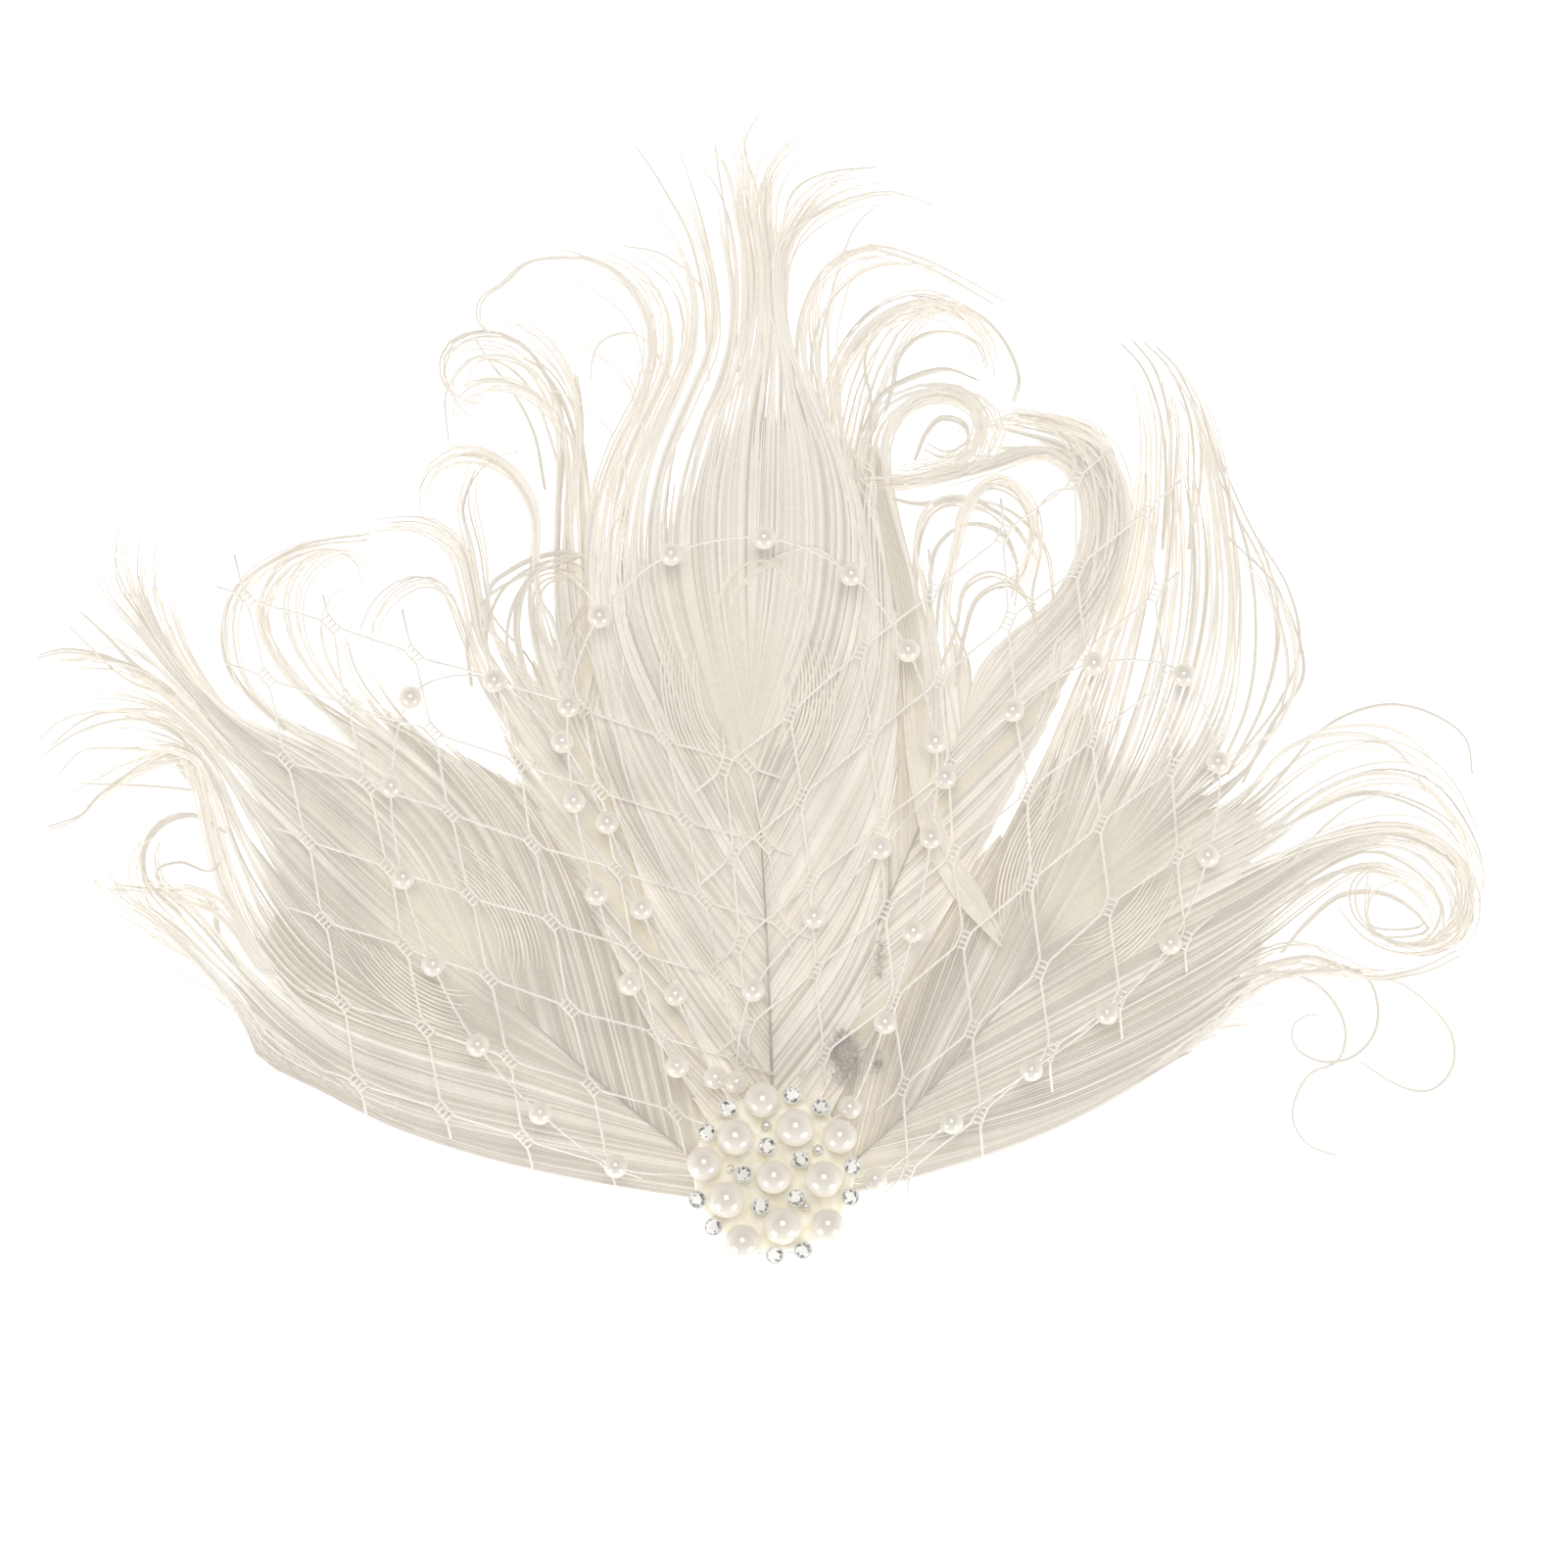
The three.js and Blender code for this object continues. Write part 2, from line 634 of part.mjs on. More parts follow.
addPiece("brooch_setting", settingGeometry(), FINISHES.setting);
PEARL_PLACES.forEach(([x, y], k) => {
  const pearl = new THREE.SphereGeometry(PEARL.radius, PEARL.sides, PEARL.bands).rotateX(Math.PI / 2);
  const z = domeHeight(x, y) + SEAT_GAP + PEARL.radius;
  addPiece(numbered("pearl", k), pearl, FINISHES.pearl, [x, y, z]);
});
STONE_PLACES.forEach(([x, y], k) => {
  addPiece(numbered("rhinestone", k), stoneGeometry(), FINISHES.crystal, [x, y, CUP.z + SEAT_GAP]);
});

// Hair clip

function clipGeometry() {
  const { width, height, sheet, backY, bendY, mouthY, mouthGap, bowSteps } = CLIP;
  const bow = height / 2;
  const jaw = height - sheet - mouthGap;
  const side = new THREE.Shape();
  side.moveTo(backY, height);
  side.absarc(backY, bow, bow, Math.PI / 2, (3 * Math.PI) / 2, false);
  side.lineTo(bendY, 0);
  side.lineTo(mouthY, jaw - sheet);
  side.lineTo(mouthY, jaw);
  side.lineTo(bendY, sheet);
  side.absarc(backY, bow, bow - sheet, (3 * Math.PI) / 2, Math.PI / 2, true);
  side.lineTo(mouthY, height - sheet);
  side.lineTo(mouthY, height);
  const options = { depth: width, bevelEnabled: false, curveSegments: bowSteps };
  const strap = new THREE.ExtrudeGeometry(side, options);
  return strap.translate(0, 0, -width / 2).rotateX(Math.PI / 2).rotateZ(Math.PI / 2);
}

addPiece("hair_clip", clipGeometry(), FINISHES.clip);

export default fascinator;
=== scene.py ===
"""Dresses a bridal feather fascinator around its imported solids.

Five bleached feathers of loose barbs, two pieces of birdcage net, three strings of small
pearls, a pearl and rhinestone brooch and a hair clip. Sizes and tables are in millimetres,
in the same frame as the solids: +X right, +Y up the middle feather, +Z out of the front face.
Materials, the floor, the lamps and the camera are in metres.
"""

import math

import bpy
import numpy as np
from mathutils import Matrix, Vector


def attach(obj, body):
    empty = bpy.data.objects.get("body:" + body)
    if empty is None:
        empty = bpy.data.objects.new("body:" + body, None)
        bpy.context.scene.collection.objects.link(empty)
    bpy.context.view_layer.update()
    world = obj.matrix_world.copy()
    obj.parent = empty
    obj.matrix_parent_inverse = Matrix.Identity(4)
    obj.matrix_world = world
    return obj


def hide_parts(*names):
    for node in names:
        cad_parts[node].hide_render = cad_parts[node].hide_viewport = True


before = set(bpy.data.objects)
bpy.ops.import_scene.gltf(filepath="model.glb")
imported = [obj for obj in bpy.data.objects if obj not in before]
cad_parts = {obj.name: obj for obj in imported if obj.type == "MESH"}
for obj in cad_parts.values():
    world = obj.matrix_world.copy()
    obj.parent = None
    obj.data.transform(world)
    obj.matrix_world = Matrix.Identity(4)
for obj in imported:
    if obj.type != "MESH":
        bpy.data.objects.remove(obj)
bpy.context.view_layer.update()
rng = np.random.default_rng(20)

MM = 0.001

# Curves: points from one point of a path to the next, and the least lengths to divide by
SPAN_POINTS = 24
SHORTEST_STEP = 1e-6
DIVISOR_FLOOR = 1e-9

# Heights of the stack, from the clip's back upwards
CLIP_HEIGHT = 7.0
SEAT_GAP = 0.3
VANE_THICKNESS = 1.0
LAYERS = 5
LAYER_PITCH = 1.4
FIRST_LAYER_Z = CLIP_HEIGHT + SEAT_GAP
STACK_Z = FIRST_LAYER_Z + (LAYERS - 1) * LAYER_PITCH + VANE_THICKNESS
SAG_STATIONS = np.array([60.0, 95.0, 130.0])
SAG_BLEND = 12.0
TABLE_GAP = 0.1

# Barbs. They are spread evenly where they are a fixed reach from the quill, or at most a share
# of their length. Widths stand at shares of a strand's length.
GUIDE_POINTS = 120
SPREAD_REACH = 25.0
SPREAD_LIMIT = 0.9
BARB_SPACING = 0.2
TUFT_SPACING = 1.4
LONG_RINGS = 34
SHORT_RINGS = 14
BARB_WIDTHS = [(0, 0.36), (0.5, 0.42), (0.85, 0.38), (1, 0.14)]
BARB_HEIGHT_SHARE = 0.15

# Short barbs end near the place where barbs part, long ones at a share of their guide. Barbs
# that part later than the last share are all long.
SHORT_ENDS = (-6, 10)
SHORTEST_SHARE = 0.2
LONG_ENDS = (0.84, 1.0)
LAST_PART = 0.9

# Changes round the place where barbs part: the reach from it where each begins and is complete
TUFT_GATHERS = (-5, 10)
LOCK_GATHERS = (-3, 18)
SWAY_GROWS = (-6, 25)
LIFT_GROWS = (0, 40)
COMB_FADES = (-5, 12)
TONE_PALES = (-20, 15)
CREAM_FADES = (-25, 10)
TUFT_PULL = 0.72

# Unevenness, from a row of normal draws for each tuft (shared) and each barb (own). DRAWN names
# the columns that are read.
DRAW_COLUMNS = 8
DRAWN = {"sway_x": 0, "sway_y": 1, "roll": 2, "tuft_tone": 4, "lift": 6, "barb_tone": 7}
SWAY = {"shared": 0.85, "own": 0.42, "root": 0.45, "tip": 0.9}
LIFT = {"shared": 0.6, "own": 0.2}
TONE_NOISE = {"shared": 0.06, "own": 0.3}
ROLL_NOISE = 0.1

# Neighbouring barbs lie at three levels in turn, and differ in tone while they lie close: painted
# shade darkens the two lower levels and painted light makes the top one a little paler.
BARB_LEVEL = {"lowest": 0.17, "step": 0.08, "spread": 0.04}
COMB_PAINTED_SHADES = np.array([-0.45, -0.35, 0.12])

# Tones and warm streaks
# Barbs turn paler where they part: partly their own colour, partly painted light that shows through
# thin strands
FRINGE_TONE = 1.0
# Painted shade: barbs are darker near the quill, where they meet it
ROOT_PAINTED_SHADE = {"tone": 0.05, "reach": 3}
STREAK_SPACING = 4
STREAK_EDGE = (0.45, 0.85)
LEAST_CREAM = 0.12

# The web is made of thin sheets under the close barbs, from guide to guide. Its tone is lowered by
# painted shade, so the gaps between barbs read darker.
WEB = {
    "spacing": 0.5,
    "columns": 26,
    "margin": 0.001,
    "rise": 0.05,
    "thickness": 0.1,
    "ragged": (-5, 1),
    "ends": (0.05, 0.98),
    "tone_noise": 0.12,
    "shade": 0.1,
}

# A feather's eye is an ellipse ahead of the quill's end, in a cup of combed barbs. The edges of
# both blend over the given shares of the ellipse, and the cup's open front over a length.
EYE = {
    "ahead": 4.0,
    "wide": 12.0,
    "deep": 18.5,
    "edge": (0.3, 0.9),
    "cup_inner": (0.6, 0.8),
    "cup_outer": (1.2, 1.4),
    "cup_front": (-2, 8),
    "tone": 0.04,
    "cream": 0.5,
    "cup_shade": 0.35,
}
EYE_BARBS = {
    "count": 11,
    "size": 0.72,
    "growth": 0.56,
    "first_turn": (60, 85),
    "last_turn": (140, 165),
    "turn_step": 2,
    "rise": 0.5,
    "rise_noise": 0.05,
    "width": 0.34,
    "taper": [(0, 0.2), (0.3, 1), (0.7, 1), (1, 0.2)],
    "tone": 0.9,
    "tone_noise": 0.05,
    "cream": 0.25,
}

# Loose strands, quills and down
WISP = {
    "rings": 40,
    "bow": 0.5,
    "rise": 0.45,
    "lift": 1.2,
    "lift_grows": (0.4, 1),
    "widths": [(0, 0.6), (0.6, 0.54), (1, 0.3)],
    "tone_noise": 0.08,
    "roll_noise": 0.2,
    "cream": 0.25,
}
QUILL_FORM = {
    "rings": 28,
    "sides": 8,
    "rise": 0.7,
    "radii": [(0, 0.34), (0.3, 0.26), (0.7, 0.16), (0.82, 0.06)],
}
QUILL_LAST_STRETCH = 0.95
DOWN_HAIR = {
    "density": 20,
    "rings": 7,
    "heading": 90,
    "heading_noise": 45,
    "curl": 1.2,
    "step": (0.15, 0.35),
    "rise": 0.02,
    "lift": 0.25,
    "width": 0.17,
    "taper": 0.1,
    "roll_noise": 0.5,
    "tone": 0.5,
    "cream": 0.0,
}

# Nets. lane: half of the way between the two threads in a knot. clear: a circle kept free round
# the brooch's centre. bend: how much of a thread each corner takes, within a share of each leg.
NET = {
    "strand": 0.42,
    "lane": 0.8,
    "knot": 3.6,
    "knot_noise": 0.25,
    "rungs": 4,
    "rung": 0.34,
    "rung_span": 0.8,
    "rung_lift": 0.06,
    "slab": 0.8,
    "clear": 14.5,
    "bend": 0.7,
    "bend_limit": 0.45,
    "loose_end": (2.5, 6),
}
NET_GAP = 0.45
NET_Z = STACK_Z + NET_GAP
NET_LAYER = 1.1
NET_FALL = {"from": 37.0, "to": 78.0, "drop": 5.2}
THREAD_SIDES = 6

# Pearl strings
BEAD_RADIUS = 2.0
BEAD_GRID = {"sides": 24, "bands": 14}
THREAD_RADIUS = 0.19
STRING_POINTS = 400
STRING_DIP = {"inner": 14.2, "outer": 18.0}
CROSSING_LIFT = 1.7

# Brooch. Profiles of turned forms are (radius, height) points, and a stud's radii are shares of
# its size. PEARL_RISE: from the plate to a pearl's centre. In a cup, the ledge and the well lie
# above and below the seat of the stone's girdle.
BROOCH = {"radius": 13.6, "boss": 7.5, "lift": 1.6, "rim": 1.1, "dome": 1.0, "sides": 64}
BROOCH_Z = STACK_Z + SEAT_GAP
RIM_Z = BROOCH_Z + BROOCH["lift"]
DOME_Z = RIM_Z + BROOCH["rim"] + BROOCH["dome"]
DOME_RINGS = (0.9, 0.7, 0.5, 0.3, 0.15)
ROLLED_RIM = {"under": 0.4, "rise": 0.35, "over": 0.35, "fall": 0.3, "lip": 0.05}
PEARL_SEAT = [(0, -0.6), (2.0, -0.6), (2.15, -0.1), (1.9, 0.35), (1.5, 0.2), (0, 0.12)]
PEARL_SEAT_SIDES = 24
PEARL_RISE = 3.0
PEARL_GRID = {"sides": 40, "bands": 26}
STUD = [(0, -0.4), (1, -0.4), (1, 0.8), (0.8, 1.2), (0.4, 1.4), (0, 1.45)]
STUD_SIDES = 8
STONE = {
    "facets": 8,
    "radius": 1.3,
    "table": 0.75,
    "height": 0.9,
    "crown": (1.06, 0.58),
    "girdle": (0.05, 0.25),
    "pavilion": 0.75,
}
# Painted glints and reflections on a stone's facets: the share that is dark, dark and bright
# shades, and a tint
FACET_GLINTS = {
    "dark_share": 0.42,
    "dark": (0.12, 0.45),
    "bright": (0.8, 1.0),
    "tint": (1, 0.98, 0.93),
}
CUP = {
    "sides": 20,
    "radius": 1.5,
    "foot": 1.2,
    "lip": 0.18,
    "flare": 0.03,
    "collar": 0.5,
    "foot_z": RIM_Z + 0.3,
    "seat_z": DOME_Z + 2.1,
    "rise": 0.62,
    "ledge": 0.25,
    "well": (0.25, -0.55),
}
CLAW = {"count": 4, "first": 45, "radius": 0.24, "inset": 0.12, "rise": 0.05}
CLAW_GRID = {"sides": 8, "bands": 6}

# Floor and lamps, in metres
FLOOR = {"half": 2.5, "z": -0.0002}
LAMP_TARGET = (0.0, 0.05, 0.01)

# The feathers, lowest first. quill: its foot, middle and end. Each guide is a barb to draw
# the others by: the share of the quill where it leaves, how far from there the barbs begin
# to part, and the points that it passes. Guides that stay together make one lock, with the
# share of its barbs that run on past the vane. The locks go from the lower left round the tip
# to the lower right, and gaps open between them. layer: its place in the stack. axis: the way
# that it lies, in degrees from +X. sag: how fast it droops along the axis. tone: from 0, greyest,
# to 1, palest. loose_tone: the tone of the loose strands. cream: how strong the warm streaks are.
# eye: whether its eye shows.
FEATHERS = [
    {
        "name": "feather_left",
        "layer": 0,
        "axis": 142,
        "sag": 0.00096,
        "tone": 0.14,
        "loose_tone": 0.5,
        "cream": 0.3,
        "eye": True,
        "quill": [(4, -10), (-25, 11), (-55, 39)],
        "locks": [
            (0.6, [
                (0.1, 99, [(-30, -2), (-50, 2.5), (-65, 7.5), (-77.5, 13.5), (-87, 18)]),
                (0.22, 88, [
                    (-38.5, 3), (-60, 7.5), (-78.5, 14.5), (-88, 19.5), (-90.5, 25), (-96, 32.5),
                    (-105, 42), (-115, 48), (-117.5, 51.5), (-116, 54.5), (-110, 55.5),
                ]),
                (0.3, 84, [
                    (-41.5, 7.5), (-61.5, 12.5), (-76.5, 19.5), (-86.5, 27.5), (-93.5, 35),
                    (-101.5, 43.5), (-106.5, 48.5), (-107.5, 52.5), (-106.5, 57), (-102.5, 60),
                    (-97.5, 60),
                ]),
                (0.38, 70, [
                    (-45, 12.5), (-61.5, 17), (-71.5, 20.5), (-80, 27), (-87.5, 35), (-91.5, 42),
                    (-95, 45.5), (-98.5, 47), (-106.5, 47.5), (-113.5, 47.5),
                ]),
            ]),
            (0.85, [
                (0.46, 78, [
                    (-50, 18.5), (-67.5, 23), (-83.5, 30.5), (-91, 40), (-95, 49.5), (-97.5, 59),
                    (-99, 66.5), (-101.5, 71.5), (-106.5, 70.5), (-113.5, 66), (-118.5, 61),
                    (-124, 58),
                ]),
                (0.51, 72, [
                    (-51.5, 22.5), (-67.5, 29.5), (-79, 39), (-86.5, 49), (-91, 58), (-94.5, 66),
                    (-98, 71), (-102.5, 74.5), (-111.5, 76.5), (-120, 75),
                ]),
            ]),
            (0.42, [
                (0.58, 74, [
                    (-53.5, 29.5), (-69.5, 40), (-80.5, 50.5), (-88, 59.5), (-93.5, 67.5),
                    (-98.5, 74), (-104, 77.5), (-113.5, 79), (-121.5, 77),
                ]),
                (0.66, 70, [
                    (-56.5, 34.5), (-70, 46), (-81.5, 57.5), (-90, 66), (-96.5, 74), (-103.5, 80.5),
                    (-110, 84), (-118.5, 84.5), (-126, 82),
                ]),
                (0.76, 66, [
                    (-60, 42), (-73.5, 54.5), (-85, 65), (-93.5, 73), (-101, 81), (-106.5, 86),
                    (-113.5, 88.5), (-125, 88),
                ]),
                (0.88, 72, [
                    (-61.5, 47), (-74, 59.5), (-85, 68.5), (-95, 77), (-103, 86), (-108.5, 94.5),
                    (-111.5, 99.5), (-112, 103.5), (-110.5, 109.5),
                ]),
                (1, 70, [
                    (-64, 52.5), (-76, 63.5), (-86.5, 71.5), (-96, 79.5), (-102.5, 88.5),
                    (-107, 96), (-108.5, 101), (-108.5, 108.5),
                ]),
                (0.93, 52, [
                    (-60, 54.5), (-70, 65), (-81, 72), (-91, 77), (-98.5, 84.5), (-103, 92.5),
                    (-104.5, 98.5), (-104, 102.5), (-102, 107),
                ]),
            ]),
            (0.2, [
                (0.86, 54, [
                    (-56, 54.5), (-65, 65), (-75, 72), (-84, 76.5), (-90.5, 82.5), (-93, 90),
                    (-92.5, 97), (-89, 102), (-82.5, 106), (-73.5, 108), (-68.5, 107),
                ]),
            ]),
            (0.25, [
                (0.8, 60, [
                    (-51.5, 56), (-61.5, 67), (-71.5, 75), (-79, 80.5), (-84.5, 87), (-87, 93.5),
                    (-86, 98.5), (-81.5, 103.5), (-74, 105.5), (-69, 103.5),
                ]),
            ]),
            (0.3, [
                (0.72, 63, [
                    (-48.5, 57), (-58.5, 68.5), (-68.5, 76), (-75.5, 81.5), (-80, 87.5),
                    (-82, 94.5), (-81, 100), (-76.5, 104.5), (-71.5, 105), (-68.5, 102),
                    (-68, 97.5), (-70, 94.5),
                ]),
                (0.62, 66, [
                    (-43.5, 54.5), (-51.5, 67.5), (-60, 73.5), (-66.5, 77), (-74, 80.5),
                    (-78, 84.5),
                ]),
            ]),
            (0.35, [
                (0.52, 66, [(-36, 46), (-42.5, 60), (-49.5, 68.5), (-55, 72)]),
                (0.4, 99, [(-27.5, 39.5), (-34, 55), (-41, 66)]),
                (0.28, 99, [(-19.5, 31), (-25, 46), (-31, 55)]),
                (0.12, 99, [(-11.5, 14.5), (-16.5, 27.5)]),
            ]),
        ],
    },
    {
        "name": "feather_right",
        "layer": 1,
        "axis": 50,
        "sag": 0.00125,
        "tone": 0.12,
        "loose_tone": 0.5,
        "cream": 0.3,
        "eye": True,
        "quill": [(-4, -10), (25, 12), (53, 49)],
        "locks": [
            (0.4, [
                (0.12, 99, [(8, 13), (16, 28)]),
                (0.27, 99, [(17.5, 27), (26.5, 44.5)]),
                (0.35, 99, [(26.5, 34.5), (37, 49.5), (43.5, 60.5), (46.5, 66.5)]),
            ]),
            (0.25, [
                (0.42, 78, [
                    (36.5, 39.5), (42.5, 54.5), (46.5, 65), (52.5, 82), (58, 96), (61, 109.5),
                    (63, 121), (62.5, 129.5), (60, 136),
                ]),
                (0.55, 66, [
                    (45, 49.5), (52.5, 71), (59, 91), (63, 106), (63.5, 119.5), (63.5, 127.5),
                    (61.5, 132.5),
                ]),
                (0.66, 52, [
                    (51, 54.5), (58.5, 72.5), (63.5, 91), (66, 106), (67, 119.5), (67, 129.5),
                    (64, 138), (61, 141),
                ]),
                (0.76, 42, [
                    (56.5, 59.5), (64.5, 76), (68.5, 91), (69.5, 106), (68.5, 119.5), (68.5, 132.5),
                    (63.5, 140.5),
                ]),
                (0.84, 38, [
                    (60, 61), (69, 77.5), (73.5, 92.5), (74.5, 106), (72.5, 119.5), (71.5, 126),
                ]),
                (0.92, 36, [
                    (64, 62), (74, 79.5), (78, 94.5), (77.5, 109.5), (76, 121), (72.5, 132),
                    (65, 140),
                ]),
                (1, 34, [
                    (67.5, 62.5), (78, 79.5), (80, 96), (78.5, 111), (75, 126), (71, 135),
                    (67.5, 139.5),
                ]),
            ]),
            (0.22, [
                (0.97, 32, [
                    (68.5, 60), (81.5, 70), (88.5, 82.5), (88, 92.5), (84, 102), (78.5, 108.5),
                    (72.5, 112.5),
                ]),
            ]),
            (0.2, [
                (0.92, 38, [
                    (68.5, 55), (80, 63.5), (88.5, 72), (96.5, 74.5), (105, 73.5), (111, 68.5),
                    (113, 63.5), (113.5, 59.5),
                ]),
                (0.86, 44, [
                    (68.5, 52), (82.5, 60), (92.5, 67.5), (101.5, 71), (110, 70.5), (116.5, 65),
                    (120.5, 56), (121.5, 47.5), (119, 40),
                ]),
                (0.78, 50, [
                    (66.5, 47.5), (83.5, 56), (92.5, 62.5), (101.5, 66), (110, 65.5), (116.5, 59.5),
                    (120.5, 51), (119, 42.5),
                ]),
            ]),
            (0.42, [
                (0.7, 72, [
                    (65, 42), (83.5, 51.5), (93.5, 57), (103.5, 59.5), (111.5, 58.5), (117.5, 52.5),
                    (119, 46), (116.5, 40), (110, 37.5),
                ]),
                (0.6, 78, [
                    (65, 37.5), (83.5, 47.5), (94, 54.5), (105, 57.5), (114, 54.5), (119, 47.5),
                    (116.5, 40), (108.5, 37.5), (96, 41.5),
                ]),
                (0.52, 78, [
                    (63.5, 32.5), (82.5, 43.5), (93.5, 51.5), (103.5, 55.5), (111.5, 52.5),
                    (116.5, 47), (116.5, 41), (110, 38.5), (101.5, 41),
                ]),
                (0.46, 72, [
                    (61.5, 29.5), (80, 40), (91, 48.5), (100, 52), (108.5, 50), (112, 47),
                    (111, 42.5),
                ]),
            ]),
            (0.4, [
                (0.38, 72, [
                    (53.5, 18.5), (71.5, 27.5), (82.5, 35), (91.5, 37), (101.5, 33), (110, 34),
                    (116.5, 37.5),
                ]),
                (0.32, 66, [
                    (45, 8.5), (65, 17.5), (76, 24.5), (82.5, 32), (86.5, 35), (92.5, 36),
                    (97.5, 34.5), (102, 32.5),
                ]),
                (0.12, 99, [(24, -1), (45, 6), (60, 13.5), (71, 20.5)]),
            ]),
        ],
    },
    {
        "name": "feather_back_left",
        "layer": 2,
        "axis": 115,
        "sag": 0.0006,
        "tone": 0.36,
        "loose_tone": 0.5,
        "cream": 0.9,
        "eye": False,
        "quill": [(3, -8), (-17, 42), (-37, 84)],
        "locks": [
            (0.4, [
                (0.04, 99, [(-4.5, 1), (-11, 7.5)]),
                (0.12, 99, [(-12.5, 14.5), (-22.5, 27.5)]),
                (0.27, 99, [(-20.5, 34.5), (-36.5, 53.5)]),
                (0.36, 60, [(-28.5, 51), (-38.5, 64.5), (-45, 72.5), (-48.5, 77.5)]),
            ]),
            (0.2, [
                (0.42, 46, [
                    (-31.5, 57.5), (-43.5, 72.5), (-50, 84.5), (-53, 92.5), (-56, 99.5),
                    (-60, 101.5), (-65, 99.5), (-68.5, 95), (-69.5, 90), (-67, 82.5),
                ]),
            ]),
            (0.2, [
                (0.5, 45, [
                    (-32.5, 62.5), (-43.5, 77.5), (-49.5, 89.5), (-51.5, 99.5), (-53.5, 106),
                    (-59, 109.5), (-65, 109.5), (-71.5, 108),
                ]),
            ]),
            (0.22, [
                (0.6, 43, [
                    (-33.5, 67.5), (-42.5, 82.5), (-48, 92.5), (-50, 104.5), (-52, 114.5),
                    (-49.5, 121), (-45, 124.5), (-41, 125.5),
                ]),
            ]),
            (0.25, [
                (0.68, 38, [
                    (-32.5, 72.5), (-39, 89.5), (-41, 102.5), (-41.5, 112.5), (-46, 119.5),
                    (-53.5, 122), (-59, 119), (-61, 114.5), (-60, 109.5),
                ]),
            ]),
            (0.24, [
                (0.8, 32, [
                    (-33.5, 79.5), (-36.5, 96), (-36.5, 112.5), (-36, 127.5), (-38.5, 135),
                    (-43.5, 141), (-50, 142.5), (-55.5, 140), (-56.5, 135), (-54, 131),
                    (-47.5, 129.5),
                ]),
                (0.92, 28, [
                    (-33, 89.5), (-34.5, 106), (-34.5, 119.5), (-36.5, 127.5), (-41, 132.5),
                    (-46.5, 134.5), (-51.5, 133.5), (-54.5, 129.5), (-54.5, 125),
                ]),
            ]),
            (0.22, [
                (1, 20, [
                    (-32.5, 99.5), (-33.5, 116), (-33.5, 129.5), (-36, 137.5), (-41, 143.5),
                    (-46.5, 145.5), (-51, 143.5),
                ]),
                (0.85, 32, [(-29, 91), (-31, 106), (-32, 119.5), (-31.5, 129.5)]),
            ]),
            (0.4, [
                (0.7, 99, [(-25, 76), (-27.5, 92.5)]),
                (0.5, 99, [(-19, 62), (-23, 88)]),
            ]),
        ],
    },
    {
        "name": "feather_back_right",
        "layer": 3,
        "axis": 70,
        "sag": 0.0006,
        "tone": 0.46,
        "loose_tone": 0.5,
        "cream": 0.9,
        "eye": False,
        "quill": [(-3, -8), (17, 40), (33, 78)],
        "locks": [
            (0.4, [
                (0.4, 99, [(14, 55), (17, 82.5), (15.5, 99.5), (13.5, 114.5)]),
            ]),
            (0.4, [
                (0.56, 80, [
                    (19, 72.5), (15.5, 99.5), (10.5, 119.5), (8.5, 130), (11.5, 139), (18.5, 145.5),
                    (26.5, 148), (33.5, 145), (37.5, 138.5), (37.5, 132),
                ]),
                (0.6, 80, [
                    (19.5, 72.5), (16, 99.5), (11.5, 119.5), (9.5, 129.5), (12.5, 137.5),
                    (19, 144.5), (26.5, 146.5), (32.5, 144), (35.5, 138.5), (36.5, 132.5),
                ]),
            ]),
            (0.52, [
                (0.66, 72, [
                    (22, 74.5), (19, 97.5), (15.5, 116), (15.5, 125), (19, 131), (26.5, 134),
                    (34, 132.5), (37, 127), (33.5, 121.5), (23.5, 118), (11.5, 117),
                ]),
                (0.72, 66, [
                    (26, 79.5), (24, 98.5), (20, 114.5), (19, 123.5), (22, 129.5), (27.5, 132.5),
                    (33.5, 130.5), (35, 126), (32.5, 122), (25, 119.5), (18.5, 117.5),
                ]),
            ]),
            (0.18, [
                (0.85, 30, [
                    (29, 82.5), (26.5, 97), (25, 107), (28.5, 113.5), (36, 113.5), (42.5, 109.5),
                    (45, 101),
                ]),
            ]),
            (0.18, [
                (0.95, 8, [
                    (29.5, 84.5), (29, 96), (30.5, 106), (33.5, 114.5), (39, 117.5), (43.5, 112.5),
                    (43.5, 104.5), (40, 99.5), (33.5, 101),
                ]),
            ]),
            (0.62, [
                (1, 60, [
                    (41.5, 89.5), (50, 99.5), (53.5, 108.5), (52.5, 117), (46, 122.5), (36, 120),
                    (25, 117.5), (15, 117),
                ]),
                (0.9, 66, [
                    (42.5, 85), (53.5, 97), (58.5, 107), (58.5, 115), (54.5, 123.5), (46.5, 127.5),
                    (38.5, 129), (35, 126),
                ]),
                (0.8, 70, [
                    (44.5, 82), (56.5, 95), (61, 108.5), (60, 117.5), (56, 124.5), (49, 127.5),
                    (41.5, 128.5), (36, 126),
                ]),
            ]),
            (0.5, [
                (0.55, 99, [(35.5, 60), (43.5, 72), (50.5, 84)]),
                (0.34, 99, [(25, 38.5), (35.5, 54.5)]),
                (0.18, 99, [(13.5, 20), (26, 38.5)]),
                (0.06, 99, [(6, 4), (11.5, 14.5)]),
            ]),
        ],
    },
    {
        "name": "feather_middle",
        "layer": 4,
        "axis": 91,
        "sag": 0.00045,
        "tone": 0.5,
        "loose_tone": 0.75,
        "cream": 0.35,
        "eye": True,
        "quill": [(0, -9), (-1, 36), (-4, 80)],
        "locks": [
            (0.42, [
                (0.08, 99, [(-7, 11), (-13, 22)]),
